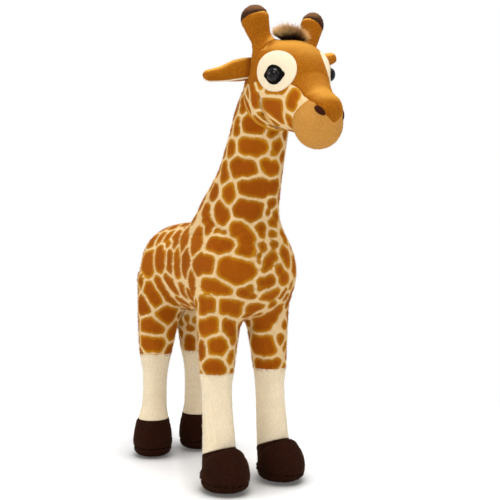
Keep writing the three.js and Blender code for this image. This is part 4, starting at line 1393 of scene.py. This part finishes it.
@dataclass(frozen=True)
class HeadSizes:
    """The head, and its forms as shares of its reach, depth and width from the joint."""

    reach: float = 71 * MM
    girth: float = 250 * MM
    width: float = 80 * MM
    depth: float = 86 * MM
    cap: float = 10 * MM
    shares: Table = (
        (0, 0.05, 0.316, 0.307), (0.178, 0.05, 0.435, 0.417), (0.446, -0.015, 0.465, 0.51),
        (0.744, -0.238, 0.365, 0.393), (1, -0.4, 0.3, 0.288))
    brow: tuple[float, float, float, float] = (18, -36, 16, 20)
    muzzle_lead: float = 3.5 * MM
    muzzle_place: tuple[float, float] = (1.08, -0.534)
    muzzle_width: float = 47.5 * MM
    nose_place: tuple[float, float] = (1.28, -0.345)
    nose_width: float = 27 * MM
    nose_depth: float = 20 * MM
    crown_back: float = 0.12
    panel: Table = (
        (-0.7, -20.0), (-0.54, 0.0), (-0.52, 4.0), (-0.49, 6.5), (-0.466, 9.0), (-0.44, 11.0), (-0.416, 13.0),
        (-0.374, 15.5), (-0.326, 16.0), (-0.29, 17.4), (-0.233, 19.5), (-0.162, 20.2), (-0.125, 22.0),
        (-0.077, 25.5), (-0.03, 32.0), (0.0, 46.0), (0.9, 46.0))
    jowl: Table = ((18, -3, 22, 24), (6, -4, 31, 31), (-6, -6.5, 35, 37), (-20, -9, 37, 35.5),
                   (-36, -14, 33, 30))
    patch_places: tuple = ((0.59, 29.0), (0.565, 37.0))
    eye_places: tuple = ((0.602, 24.1), (0.55, 27.4))
    patch_width: float = 41 * MM
    eye_width: float = 13.6 * MM
    eye_bulge: float = 5.2 * MM
    lash: float = 9.5 * MM
    nostril: Table = ((16.1, -91.1, -32.7), (9.6, -98.5, -41.0))
    nostril_width: float = 6.2 * MM
    nostril_spreads: tuple[float, float] = (1.0, 1.35)


@dataclass(frozen=True)
class HornSizes:
    """A horn, and its form as shares: out, reach, rise, half width."""

    spread: float = 72 * MM
    rise: float = 34 * MM
    width: float = 28.4 * MM
    girths: tuple[float, float] = (1.0, 0.84)
    rises: tuple[float, float] = (1.0, 1.09)
    tip_tilts: tuple[float, float] = (12.0, 36.0)
    tip_leans: tuple[float, float] = (0.3, 0.05)
    root: float = 0.318
    rims: tuple[float, float] = (0.06, -0.02)
    shares: Table = ((0.68, 0.345, -0.5, 0.335), (0.808, 0.327, 0.3, 0.335),
                     (0.903, 0.311, 0.657, 0.408), (1, 0.297, 1, 0.5))


@dataclass(frozen=True)
class EarSizes:
    """An ear, and its form as shares: out, back, down, half thickness, half width."""

    length: float = 42 * MM
    width: float = 24 * MM
    thickness: float = 12.6 * MM
    sweeps: tuple[float, float] = (14.5 * MM, 5 * MM)
    droops: tuple[float, float] = (9.5 * MM, -23 * MM)
    root: tuple[float, float, float] = (0.41, 0.148, 0.172)
    round_tip: float = 0.25
    lining_turn: float = 45.0
    shares: Table = ((-0.12, -0.1, -0.05, 0.46, 0.48), (0.325, 0.35, 0.33, 0.5, 0.48),
                     (0.675, 0.68, 0.75, 0.46, 0.35), (1, 1, 1, 0.37, 0.26))


@dataclass
class Seat:
    """A place on a skin, with the way out of it, the way up along it, and the way across."""

    origin: Array
    normal: Array

    def __post_init__(self) -> None:
        """Works out the two ways along the skin, with across x rise = normal."""
        self.rise = unit(UP - self.normal * dot(self.normal, UP))
        self.across = np.cross(self.rise, self.normal)

    def pad(self, joined: Joined, outline: Array, lift: float, thick: float) -> Surface:
        """A shape sewn on the skin: it follows the skin, and its rim rolls down into it.

        Ring k lies at a share of the outline's radius and at a height: below the skin from the middle to
        the rim, then over the rolled rim and back to the middle.

        Args:
            joined: The skin below.
            outline: The radius for each of the sides.
            lift: How far the shape stands off the skin.
            thick: How much its middle swells above that.

        Returns:
            The closed surface.
        """
        shares = np.array([0.3, 0.7, 0.94, 1.0, 1.0, 0.985, 0.95, 0.88, 0.78, 0.66, 0.52, 0.38, 0.24, 0.1])
        heights = np.array([-1, -1, -0.9, -0.5, 0.1, 0.5, 0.8, 0.95, 1, 1, 1, 1, 1, 1.0])
        swells = (1 - shares ** 2) * (heights > 0.7)
        angle = circle(len(outline))
        around = np.cos(angle)[:, None] * self.across + np.sin(angle)[:, None] * self.rise
        flat = self.origin + shares[:, None, None] * outline[:, None] * around
        flat = np.vstack([flat.reshape(-1, 3), self.origin, self.origin])
        height = np.append(np.repeat(lift * heights + thick * swells, len(outline)), [-lift, lift + thick])
        points = joined.drape(flat, self.normal) + self.normal * height[:, None]
        return Surface(points, len(shares), len(outline), np.tile(-self.rise, (len(points), 1)))

    def dome(self, radius: float, bulge: float, lift: float, sides: int = 48, rings: int = 12) -> Surface:
        """A round button: ring k sits at radius cos a and height bulge sin a, with a from 0 to 90 degrees."""
        turn = np.linspace(0, 1, rings + 1)[:-1] * math.pi / 2
        shares = np.concatenate([[0.4, 0.8, 0.97, 1.0], np.cos(turn)])
        heights = np.concatenate([np.array([-3, -3, -2.6, -1.5]) * MM, bulge * np.sin(turn)]) + lift
        angle = circle(sides)
        around = np.cos(angle)[:, None] * self.across + np.sin(angle)[:, None] * self.rise
        points = self.origin + radius * shares[:, None, None] * around + heights[:, None, None] * self.normal
        poles = self.origin + np.outer([lift - 3 * MM, lift + bulge], self.normal)
        return Surface(np.vstack([points.reshape(-1, 3), poles]), len(shares), sides,
                       np.tile(self.rise, (len(shares) * sides + 2, 1)))


def strip(path: Array, outward: Array, half_wide: float, half_thick: float, sides: int = 14) -> Surface:
    """A flat band along a line on a skin, with pinched ends.

    Each ring is the line's point + half_wide cos a across + half_thick sin a outward.

    Args:
        path: The line.
        outward: The way out of the skin along it.
        half_wide: Half of the band's width.
        half_thick: Half of its thickness.
        sides: Points round it.

    Returns:
        The closed surface.
    """
    along = unit(np.gradient(path, axis=0))
    rise = unit(outward - along * dot(outward, along)[:, None])
    across = np.cross(rise, along)
    angle = circle(sides)
    points = (path[:, None] + half_wide * np.cos(angle)[:, None] * across[:, None]
              + half_thick * np.sin(angle)[:, None] * rise[:, None])
    surface = Surface(np.vstack([points.reshape(-1, 3), path[0], path[-1]]), len(path), sides,
                      np.vstack([np.repeat(along, sides, 0), along[0], along[-1]]))
    surface.marks["round"] = np.append(np.tile(np.abs(np.cos(angle)), len(path)), [1.0, 1.0])
    return surface


@dataclass
class Head:
    """The head: cheeks, face panel and muzzle over one stuffed form, and all that is sewn to it."""

    place: Frame
    body: Body
    view: Viewpoint
    rng: np.random.Generator
    sizes: HeadSizes = HeadSizes()
    horn: HornSizes = HornSizes()
    step: float = 1.35 * MM
    fibre: Pile = Pile(length=2.2 * MM, width=0.5 * MM, lift=22.0, density=0.7e6)
    patch_fibre: Pile = Pile(length=1.8 * MM, width=0.45 * MM, lift=20.0, density=0.9e6)

    def at(self, reach: float, up: float, out: float = 0.0) -> Array:
        """A place at shares of the head's reach and depth from the joint, and a length to the left."""
        return self.place.nod + np.array([out, -reach * self.sizes.reach, up * self.sizes.depth])

    def __post_init__(self) -> None:
        """Works out the head's forms."""
        sizes, horn = self.sizes, self.horn
        rows = np.array([(*self.at(reach, up), wide * sizes.width, deep * sizes.depth)
                         for reach, up, wide, deep in sizes.shares])
        self.limb = Limb(rows, sizes.cap, sizes.cap)
        middle, radius = self.at(*sizes.muzzle_place), sizes.muzzle_width / 2
        self.muzzle = self.ball(middle, radius, radius)
        nose = self.ball(self.at(*sizes.nose_place), sizes.nose_width / 2, sizes.nose_depth / 2)
        jowl = [(0.0, self.place.nod[1] + back * MM, self.place.nod[2] + up * MM, wide * MM, deep * MM)
                for back, up, wide, deep in sizes.jowl]
        self.forms = {"head": self.limb, "jowl": Limb(np.array(jowl), 8 * MM, 8 * MM),
                      "muzzle": self.muzzle, "nose": nose}
        out, back, up, half = np.array(sizes.brow) * MM
        for side in Side:
            self.forms[f"brow_{side.name}"] = self.ball(
                self.place.nod + np.array([side.value * out, back, up]), half, half)
        for side in Side:
            width = horn.width * side.of(horn.girths)
            stations = [(*self.at(reach, horn.root, side.value * out * horn.spread / 2), half * width,
                         half * width) for out, reach, _, half in horn.shares]
            stations = np.array(stations)
            stations[:, 2] += np.array(horn.shares)[:, 2] * horn.rise * side.of(horn.rises)
            self.forms[f"horn_{side.name}"] = Limb(stations, 4 * MM, horn.width / 2, samples=40)
        fillets = {"head": 8 * MM, "jowl": 10 * MM, "muzzle": 5 * MM, "nose": 14 * MM, "brow_right": 10 * MM,
                   "brow_left": 10 * MM, "horn_right": 15 * MM, "horn_left": 11 * MM}
        self.joined = Joined(self.forms, fillets)
        rows = np.vstack([jowl[:3], rows[2:4], [[*middle, radius, radius]]])
        self.whole = Limb(rows, sizes.cap, radius)

    @staticmethod
    def ball(middle: Array, half_wide: float, half: float) -> Limb:
        """A ball, or an oval one, as a limb of no length."""
        nudge = np.array([0.0, -0.2 * MM, -0.1 * MM])
        return Limb(np.array([(*(middle - nudge), half_wide, half), (*(middle + nudge), half_wide, half)]),
                    half, half, samples=4)

    @staticmethod
    def skull(gaps: dict[str, Array]) -> Array:
        """The distance to the nearest of the forms behind the muzzle."""
        return np.min([gaps[name] for name in ("head", "jowl", "brow_right", "brow_left")], axis=0)

    def panel_depth(self, points: Array) -> Array:
        """How far inside the outline of the face panel each point lies, seen from the front."""
        up = (points[:, 2] - self.place.nod[2]) / self.sizes.depth
        table = np.array(self.sizes.panel)
        half = np.interp(up, table[:, 0], table[:, 1]) * MM
        crown = self.place.nod[1] - self.sizes.crown_back * self.sizes.reach - points[:, 1]
        return np.minimum(half - np.abs(points[:, 0]), crown)

    def build(self) -> None:
        """Makes the three skins of the face, then what is sewn on."""
        self.seats()
        rings, sides = int(self.whole.run[-1] / self.step), int(self.sizes.girth / self.step)
        grid = self.whole.tube(rings, sides, cap_rings=22)
        rules = {"cheeks": lambda panel, muzzle: np.maximum(panel, muzzle),
                 "face_panel": lambda panel, muzzle: -panel,
                 "muzzle": lambda panel, muzzle: np.maximum(panel, -muzzle)}
        dressing = {"cheeks": (PRINTED, ("head_cover", "head_fill")), "face_panel": (GOLDEN, ("face_panel",)),
                    "muzzle": (TAN, ("muzzle_cover", "muzzle_fill"))}
        for name, rule in rules.items():
            skin = grid.copy()

            def over(points: Array, gaps: dict[str, Array], rule: Callable = rule) -> Array:
                panel = self.panel_depth(points)
                skull = self.skull(gaps)
                muzzle = skull - np.minimum(gaps["muzzle"], gaps["nose"])
                up = (points[:, 2] - self.place.nod[2]) / self.sizes.depth
                muzzle = muzzle + self.sizes.muzzle_lead * ease(up, -0.6, -0.35)
                horns = np.minimum(gaps["horn_right"], gaps["horn_left"])
                face = np.minimum(skull, np.minimum(gaps["muzzle"], gaps["nose"]))
                return np.maximum(rule(panel, muzzle), face - horns)

            covered = self.joined.settle(skin, over, reach=24 * MM, inward=6 * MM, seam=0.45 * MM,
                                         seam_width=0.9 * MM)
            skin.lay = unit(skin.lay + 0.2 * DOWN)
            if name == "cheeks":
                self.print_cheeks(skin, covered)
            else:
                # Painted light makes the face panel and muzzle paler where they face up, and painted shade
                # darkens them along their seams.
                skin.paint_top_light()
                skin.marks["tone"] = 0.55 * skin.marks["tone"] - 0.9 * np.exp(-(covered / (1.1 * MM)) ** 2)
            show = (covered < 0.2 * MM) & (self.under_patch(skin.points) > 0)
            finish, nodes = dressing[name]
            clothe(name, skin, finish, self.fibre, show.astype(float), self.rng, "head", nodes)
        self.jaw_band()
        for side in Side:
            self.eye(side)
            self.nostril(side)
            self.horn_piece(side)
        self.forelock()

    def seats(self) -> None:
        """Finds where the eyes and their patches sit."""
        self.eyes = {side: self.seat(side, *side.of(self.sizes.eye_places)) for side in Side}
        self.patches = {side: self.seat(side, *side.of(self.sizes.patch_places)) for side in Side}

    def seat(self, side: Side, run: float, angle: float) -> Seat:
        """A place on the skin, at a share of the head's line and so many degrees above its side."""
        cut = self.limb.sections(np.array([run * self.limb.last]))
        turn = math.radians(angle)
        way = unit(side.value * math.cos(turn) * cut.side[0] + math.sin(turn) * cut.rise[0])
        origin = self.joined.drape(cut.centre, way, 16)
        return Seat(origin[0], self.joined.outward(origin)[0])

    def under_patch(self, points: Array) -> Array:
        """How far outside the eye patches each point lies."""
        gaps = [np.linalg.norm(points - seat.origin, axis=1) for seat in self.patches.values()]
        return np.minimum(*gaps) - self.sizes.patch_width / 2 + 0.6 * MM

    def print_cheeks(self, skin: Surface, covered: Array) -> None:
        """Prints the cheeks as in the picture, the other side as their mirror, and fills the back."""
        tree = tree_of([skin])
        cloth = Print(line=3.0 * MM, grow=1.0)
        cloth.read(self.view, tree, CHEEK_PATCHES)
        cloth.add(cloth.discs[:, :3] * np.array([-1.0, 1.0, 1.0]), cloth.discs[:, 3], cloth.owners)
        spots = skin.points[covered < -6 * MM]
        spots = spots[self.rng.permutation(len(spots))[:3000]]
        cloth.fill(spots, CHEEK_SPOTS, self.rng)
        skin.marks = cloth.marks(skin.points)

    def jaw_band(self) -> None:
        """The band that covers the seam between the neck and the head, all the way round."""
        neck = self.body.limbs["neck"]
        sides = 160
        cut = neck.crossing(sides, self.joined.depth)
        loop, _ = neck.rows(cut[None], np.zeros((1, 1)), np.ones((1, 1)))
        loop = np.roll(loop[0], -sides // 4, axis=0)
        loop = np.vstack([loop, loop[:4]])
        smooth = np.stack([np.convolve(np.pad(column, 4, "edge"), np.ones(9) / 9, "valid")
                           for column in loop.T], 1)
        outward = self.joined.outward(smooth) + self.body.joined.outward(smooth)
        band = strip(smooth, unit(outward), 2.9 * MM, 1.5 * MM)
        band.marks = {"margin": 1.2 - 2.4 * ease(band.marks["round"], 0.45, 0.75),
                      "tint": np.zeros(len(band.points))}
        dress(band.piece("jaw_band", PRINTED), "head")

    def eye(self, side: Side) -> None:
        """The cream patch, the felt lash and the button of one eye."""
        seat, under, sizes = self.eyes[side], self.patches[side], self.sizes
        sides = 120
        angle = circle(sides)
        radius = sizes.patch_width / 2 * (1 + 0.035 * np.cos(2 * angle))
        patch = under.pad(self.joined, radius, 1.1 * MM, 0.5 * MM)
        front = 0.0 if side is Side.right else math.pi

        def spike(where: float, width: float) -> Array:
            return np.exp(-((np.angle(np.exp(1j * (angle - where)))) / width) ** 2)

        lash = sizes.lash + 2.2 * MM * spike(front, 0.28) + 2.0 * MM * spike(front + math.pi, 0.3)
        lash += 0.9 * MM * spike(math.pi / 2 + (0.35 if side is Side.right else -0.35), 0.5)
        felt = seat.pad(self.joined, lash, 2.5 * MM, 0.2 * MM)
        ball = seat.dome(sizes.eye_width / 2, sizes.eye_bulge, 2.0 * MM)
        name = f"eye_{side.name}"
        grown = (np.arange(len(patch.points)) // sides > 4).astype(float)
        grown *= np.linalg.norm(patch.points - seat.origin, axis=1) > 8.6 * MM
        clothe(f"{name}_patch", patch, WHITE, self.patch_fibre, grown, self.rng, "head", (f"{name}_patch",))
        dress(felt.piece(f"{name}_lash_felt", FELT), "head", (f"{name}_lash",))
        washer = frame["nodes"][f"{name}_washer"].data
        washer.materials.clear()
        washer.materials.append(WASHER.material())
        dress(ball.piece(f"{name}_button", EYE), "head", (name,))

    def nostril(self, side: Side) -> None:
        """The dark slit of one nostril, slanting down to the middle of the nose."""
        spread = side.value * side.of(self.sizes.nostril_spreads)
        ends = self.place.nod + np.array(self.sizes.nostril) * MM * np.array([spread, 1.0, 1.0])
        middle, line = ends.mean(0), ends[1] - ends[0]
        origin = self.joined.drape(middle[None], unit(middle - self.at(*self.sizes.muzzle_place)))
        seat = Seat(origin[0], self.joined.outward(origin)[0])
        turned = circle(60) - math.atan2(line @ seat.rise, line @ seat.across)
        radius = oval(turned, np.linalg.norm(line) / 2, self.sizes.nostril_width / 2)
        pad = seat.pad(self.joined, radius, 0.9 * MM, 0.3 * MM)
        dress(pad.piece(f"nostril_{side.name}_pad", NOSTRIL), "head", (f"nostril_{side.name}",))

    def horn_piece(self, side: Side) -> None:
        """The golden stalk and the dark cap of one horn."""
        name, horn = f"horn_{side.name}", self.horn
        limb = self.forms[name]
        tilt = math.radians(side.of(horn.tip_tilts))
        way = unit(np.array([side.value * math.sin(tilt), side.of(horn.tip_leans), math.cos(tilt)]))
        rim = limb.stations[-1, :3] + way * side.of(horn.rims) * horn.width
        grid = limb.tube(44, 70, cap_rings=14)
        parts = (("cover", GOLDEN, 1, (f"{name}_cover", f"{name}_fill")), ("tip", CAP, -1, (f"{name}_tip",)))
        for part, finish, sign, nodes in parts:
            skin = grid.copy()

            def over(points: Array, gaps: dict[str, Array], sign: int = sign) -> Array:
                others = np.minimum(self.skull(gaps), gaps["nose"])
                return np.maximum(sign * ((points - rim) @ way), gaps[name] - others)

            covered = self.joined.settle(skin, over, seam=0.4 * MM)
            skin.lay = -skin.lay
            # Painted light: the horn is painted paler where it faces up.
            skin.paint_top_light()
            show = (covered < 0.2 * MM).astype(float)
            clothe(f"{name}_{part}", skin, finish, self.fibre, show, self.rng, "head", nodes)

    def forelock(self) -> None:
        """The brush of hair on the crown: dark at its root and pale at its tips."""
        root = self.at(0.43, 0.5)
        seat = Seat(root, unit(np.array([0.0, -0.35, 1.0])))
        origin = self.joined.drape(root[None], seat.normal)
        seat = Seat(origin[0], seat.normal)
        pad = seat.pad(self.joined, oval(circle(40), 12 * MM, 8 * MM), 1.0 * MM, 1.0 * MM)
        dress(pad.piece("forelock_root", HAIR), "head", ("forelock",))
        count = 3400
        share = np.sqrt(self.rng.random(count))
        turn = self.rng.random(count) * 2 * math.pi
        across, rise = share * np.cos(turn), share * np.sin(turn)
        roots = seat.origin + np.outer(across * 11 * MM, seat.across) + np.outer(rise * 7 * MM, seat.rise)
        ways = unit(seat.normal + np.outer(across * 1.7 - 0.1, seat.across) + np.outer(rise * 0.9, seat.rise)
                    + self.rng.normal(0, 0.16, (count, 3)))
        lengths = self.rng.uniform(14, 19, count) * MM * (1 - 0.3 * np.abs(across))
        strands = hair("forelock_hair", roots, np.tile(seat.normal, (count, 1)), ways, lengths, self.rng,
                       curl=0.12, pale=0.7 * ease(np.abs(across), 0.1, 0.5))
        dress(strands, "head")


def hair(name: str, roots: Array, outward: Array, ways: Array, lengths: Array, rng: np.random.Generator,
         curl: float = 0.1, width: float = 0.55 * MM, pale: Array | float = 0.0) -> bpy.types.Object:
    """Long dark fibres with four rings each, a little curled.

    Args:
        name: The piece's name.
        roots: Where each starts.
        outward: The way out of the skin there.
        ways: The direction each grows in.
        lengths: How long each is.
        rng: The source of random draws.
        curl: How much they bend, as a share of their length.
        width: How wide they are at the root.
        pale: How pale each is all along.

    Returns:
        The new object.
    """
    count = len(roots)
    outward = unit(np.cross(np.cross(ways, outward + rng.normal(0, 0.2, (count, 3))), ways))
    mesh, tip, each = fibres(roots, outward, ways, lengths, width * rng.uniform(0.7, 1.3, count), 4,
                             rng.normal(0, curl, (count, 3)))
    marks = {"tip": tip * np.repeat(rng.uniform(0.75, 1.15, count), each),
             "tone": np.repeat(np.broadcast_to(pale, count), each)}
    return put_mesh(name, finish=HAIR, marks=marks, **mesh)


@dataclass
class Ear:
    """One ear: a golden skin above and in front, and a cream lining under and behind it."""

    head: Head
    side: Side
    sizes: EarSizes = EarSizes()

    def build(self) -> None:
        """Makes both skins with their pile."""
        sizes, side = self.sizes, self.side.value
        out, reach, up = sizes.root
        root = self.head.at(reach, up, side * out * self.head.sizes.width)
        droop, sweep = self.side.of(sizes.droops), self.side.of(sizes.sweeps)
        stations = np.array([
            (root[0] + side * along * sizes.length, root[1] + back * sweep, root[2] - down * droop,
             thick * sizes.thickness, wide * sizes.width) for along, back, down, thick, wide in sizes.shares])
        limb = Limb(stations, 1 * MM, sizes.round_tip * sizes.width, side=(side * sweep, sizes.length, 0.0),
                    samples=40)
        joined = Joined({"ear": limb}, {"ear": MM})
        grid = limb.tube(46, 64, cap_rings=12)
        turn = math.radians(sizes.lining_turn)
        way = np.array([0.0, math.cos(turn), -math.sin(turn)])
        name = f"ear_{self.side.name}"
        line = limb.line.centre
        for part, finish, sign in (("back", GOLDEN, 1), ("lining", CREAM, -1)):
            skin = grid.copy()

            def over(points: Array, gaps: dict[str, Array], sign: int = sign) -> Array:
                near = line[((points[:, None] - line) ** 2).sum(2).argmin(1)]
                return sign * ((points - near) @ way - 2.6 * MM)

            covered = joined.settle(skin, over, seam=0.5 * MM, seam_width=1.0 * MM, tuck=1.2 * MM)
            # Painted light makes the ear paler where it faces up, and painted shade darkens it where it meets
            # the head.
            skin.paint_top_light()
            skin.marks["tone"] -= 1.6 * np.exp(-(self.head.joined.depth(skin.points) / (3.5 * MM)) ** 2)
            if part == "lining":
                hollow = 3 * MM * ease(-covered, 0.5 * MM, 5 * MM)
                skin.points = skin.points - skin.normals() * hollow[:, None]
            show = (covered < 0.2 * MM).astype(float)
            clothe(f"{name}_{part}", skin, finish, self.head.fibre, show, self.head.rng, name,
                   (f"{name}_{part}",))


@dataclass
class Mane:
    """The strip of dark pile that stands along the back of the neck."""

    body: Body
    start: float = 0.24
    end: float = 0.92
    width: float = 5 * MM
    rise: float = 7 * MM

    def build(self) -> None:
        """Makes the strip's root and its hair, with their places baked into their meshes."""
        limb, rng = self.body.limbs["neck"], self.body.rng
        cut = limb.sections(np.linspace(self.start, self.end, 90) * limb.last)
        ridge = cut.centre + cut.rise * cut.deep[:, None]
        ridge = self.body.joined.drape(ridge, cut.rise[45])
        root = strip(ridge, cut.rise, self.width / 2, 1.2 * MM)
        piece = root.piece("mane_root", HAIR)
        count = 3200
        row = rng.integers(0, 89, count)
        share = rng.random(count)[:, None]
        roots = ridge[row] * (1 - share) + ridge[row + 1] * share
        out = rng.uniform(-1, 1, count)[:, None]
        roots = roots + cut.side[row] * out * self.width / 2
        ways = unit(cut.rise[row] + cut.side[row] * out * 0.35 - cut.along[row] * 0.45
                    + rng.normal(0, 0.15, (count, 3)))
        lengths = self.rise * rng.uniform(0.75, 1.15, count)
        strands = hair("mane_hair", roots, cut.rise[row], ways, lengths, rng)
        for part in (piece, strands):
            self.body.bend(part)
        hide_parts("mane")


@dataclass
class Tail:
    """The tail: a thin stuffed tube with a tuft of dark hair."""

    place: Frame
    rng: np.random.Generator
    length: float = 108 * MM
    stand_off: float = 16 * MM
    width: float = 13 * MM
    tuft_length: float = 46 * MM
    tuft_width: float = 21 * MM
    shares: Table = ((0, 0), (0.62, 0.05), (1, 0.22), (1.1, 0.6), (1.05, 1))
    tuft_shares: Table = ((0, 0.34), (0.35, 0.5), (0.72, 0.42), (1, 0.2))

    def build(self) -> None:
        """Makes the tube, the tuft's core and its hair."""
        hinge = np.array(self.place.joint("tail_lift")["pos_m"])
        half = self.width / 2
        rows = [(0.0, hinge[1] + back * self.stand_off, hinge[2] - down * self.length, half, half)
                for back, down in self.shares]
        limb = Limb(np.array(rows), half, 1 * MM, samples=40)
        joined = Joined({"tail": limb}, {"tail": MM})
        skin = limb.tube(80, 40, cap_rings=8)
        joined.settle(skin, lambda points, gaps: np.full(len(points), -1.0))
        cloth = Print(line=3.0 * MM)
        cloth.add(skin.points[:1], np.array([4 * MM]), np.zeros(1, int))
        spots = skin.points[self.rng.permutation(len(skin.points))[:1500]]
        cloth.fill(spots, TAIL_SPOTS, self.rng)
        skin.marks = cloth.marks(skin.points)
        show = (skin.points[:, 1] > hinge[1] + 2 * MM).astype(float)
        clothe("tail", skin, PRINTED, Pile(), show, self.rng, "tail", ("tail_cover",))
        end = limb.stations[-1, :3]
        rows = [(0.0, end[1], end[2] + 2 * MM - down * self.tuft_length * 0.8, share * self.tuft_width * 0.75,
                 share * self.tuft_width * 0.75) for down, share in self.tuft_shares]
        core = Limb(np.array(rows), 3 * MM, 3 * MM, samples=30)
        tuft = core.tube(30, 30, cap_rings=6)
        dress(tuft.piece("tail_tuft_core", HAIR), "tail", ("tail_tuft",))
        count = 2600
        pick = self.rng.integers(0, len(tuft.points) - 60, count)
        outward = tuft.normals()[pick]
        ways = unit(DOWN + outward * 0.35 + self.rng.normal(0, 0.12, (count, 3)))
        strands = hair("tail_tuft_hair", tuft.points[pick] - outward * MM, outward, ways,
                       self.rng.uniform(9, 17, count) * MM, self.rng)
        dress(strands, "tail")


@dataclass(frozen=True)
class Sheet(Finish):
    """The floor's pale satin, darkened near the toy by a painted contact shadow, which turns to the
    surround's white with the distance from the toy.

    Attributes:
        clear_from: How far from the middle it starts to turn.
        clear_to: From where on it is all white.
        lift: The light added to what the camera sees of it.
        contact: How near the toy it darkens.
    """

    clear_from: float = 0.34
    clear_to: float = 0.62
    lift: float = 0.1
    contact: float = 0.09

    def surface(self, nodes: Nodes, place: bpy.types.NodeSocket) -> dict:
        """What goes into the shader, by the name of its input."""
        tone = nodes.mix(nodes.ramp(nodes.noise(place, 30.0), 0.3, 0.7), linear("fbfbfb"), LIGHT)
        # Painted shadow: ambient occlusion darkens the floor's colour towards 6a6254 near the toy.
        near = nodes.add("AmbientOcclusion", {"Distance": self.contact}).outputs["AO"]
        tone = nodes.mix(nodes.ramp(near, 0.25, 0.97), linear("6a6254"), tone)
        return {"Base Color": tone, "Roughness": 0.32, "Specular IOR Level": 0.3}

    def material(self) -> bpy.types.Material:
        """The satin, lifted a little and mixed with white light where it is seen straight or mirrored."""
        made = super().material()
        nodes = Nodes(made.node_tree)
        place = nodes.add("TexCoord").outputs["Object"]
        away = nodes.add("VectorMath", {0: place}, operation="LENGTH").outputs["Value"]
        seen = nodes.seen_by("Is Glossy Ray")
        share = nodes.maths("MULTIPLY", nodes.ramp(away, self.clear_from, self.clear_to), seen)
        lift = nodes.add("Emission", {"Color": LIGHT, "Strength": nodes.maths("MULTIPLY", seen, self.lift)})
        glow = nodes.add("Emission", {"Color": LIGHT, "Strength": 1.0})
        satin = made.node_tree.nodes["Principled BSDF"].outputs[0]
        lifted = nodes.add("AddShader", {0: satin, 1: lift.outputs[0]}).outputs[0]
        both = nodes.add("MixShader", {0: share, 1: lifted, 2: glow.outputs[0]}).outputs[0]
        nodes.set(made.node_tree.nodes["Material Output"], "Surface", both)
        return made


@dataclass
class Studio:
    """A pale floor that runs into white, soft lamps and a plain white surround.

    Attributes:
        floor_reach: The floor's radius.
        lamps: The name, place, size and power of each lamp.
    """

    floor_reach: float = 4.0
    lamps: tuple = (("key_lamp", (-1.3, -1.4, 1.4), 1.0, 15.0), ("fill_lamp", (1.5, -1.2, 0.9), 1.3, 6.0),
                    ("side_lamp", (-1.7, 0.7, 0.9), 1.0, 11.0), ("top_lamp", (0.0, -0.5, 2.0), 1.2, 30.0))

    def build(self) -> None:
        """Makes the floor, the lamps and the surround."""
        scene = bpy.context.scene
        scene.view_settings.view_transform = "Standard"
        self.surround(scene)
        self.floor()
        for lamp in self.lamps:
            self.lamp(*lamp)

    def surround(self, scene: bpy.types.Scene) -> None:
        """White to the eye, and a soft even light on the toy."""
        world = bpy.data.worlds.new("surround")
        world.use_nodes = True
        scene.world = world
        nodes = Nodes(world.node_tree)
        back = world.node_tree.nodes["Background"]
        strength = nodes.add("MapRange", {"Value": nodes.seen_by("Is Transmission Ray"), "To Min": 0.5,
                                          "To Max": 1.0})
        nodes.set(back, "Color", LIGHT)
        nodes.set(back, "Strength", strength.outputs[0])

    def floor(self) -> None:
        """A round flat sheet, whose rings lie closer together near the toy."""
        rings, sides = 40, 72
        reach = (np.arange(1, rings + 1) / rings) ** 2 * self.floor_reach
        angle = circle(sides)
        ring = np.stack([np.outer(reach, np.cos(angle)), np.outer(reach, np.sin(angle)),
                         np.zeros((rings, sides))], -1).reshape(-1, 3)
        inner = np.arange(sides)
        ring_at, side_at = np.meshgrid(np.arange(rings - 1), inner, indexing="ij")
        low, high, after = ring_at * sides, (ring_at + 1) * sides, (side_at + 1) % sides
        quads = np.stack([low + side_at, high + side_at, high + after, low + after], -1).reshape(-1, 4)
        fan = np.stack([np.full(sides, len(ring)), inner, (inner + 1) % sides], -1)
        corners = np.concatenate([quads.ravel(), fan.ravel()])
        sizes = np.concatenate([np.full(len(quads), 4), np.full(len(fan), 3)])
        put_mesh("floor", np.vstack([ring, np.zeros(3)]), corners, sizes, Sheet("floor_finish", ""))

    @staticmethod
    def lamp(name: str, place: tuple[float, float, float], size: float, power: float) -> None:
        """A large soft lamp that looks at the middle of the toy."""
        data = bpy.data.lights.new(name, "AREA")
        data.shape, data.size, data.energy = "DISK", size, power
        lamp = bpy.data.objects.new(name, data)
        lamp.location = place
        lamp.rotation_euler = (Vector((0, 0, 0.25)) - Vector(place)).to_track_quat("-Z", "Y").to_euler()
        bpy.context.scene.collection.objects.link(lamp)


def main() -> None:
    """Builds the toy in order, then the studio round it."""
    logging.basicConfig(level=logging.INFO, format="%(name)s %(message)s")
    rng = np.random.default_rng(SEED)
    view = Viewpoint()
    view.make()
    place = Frame(frame["joints"])
    body = Body(place, view, rng)
    body.build()
    for pair in body.pairs:
        for side in Side:
            Foot(body, pair, side).build()
    head = Head(place, body, view, rng)
    head.build()
    for side in Side:
        Ear(head, side).build()
    Mane(body).build()
    Tail(place, rng).build()
    Studio().build()


if __name__ == "__main__":
    main()
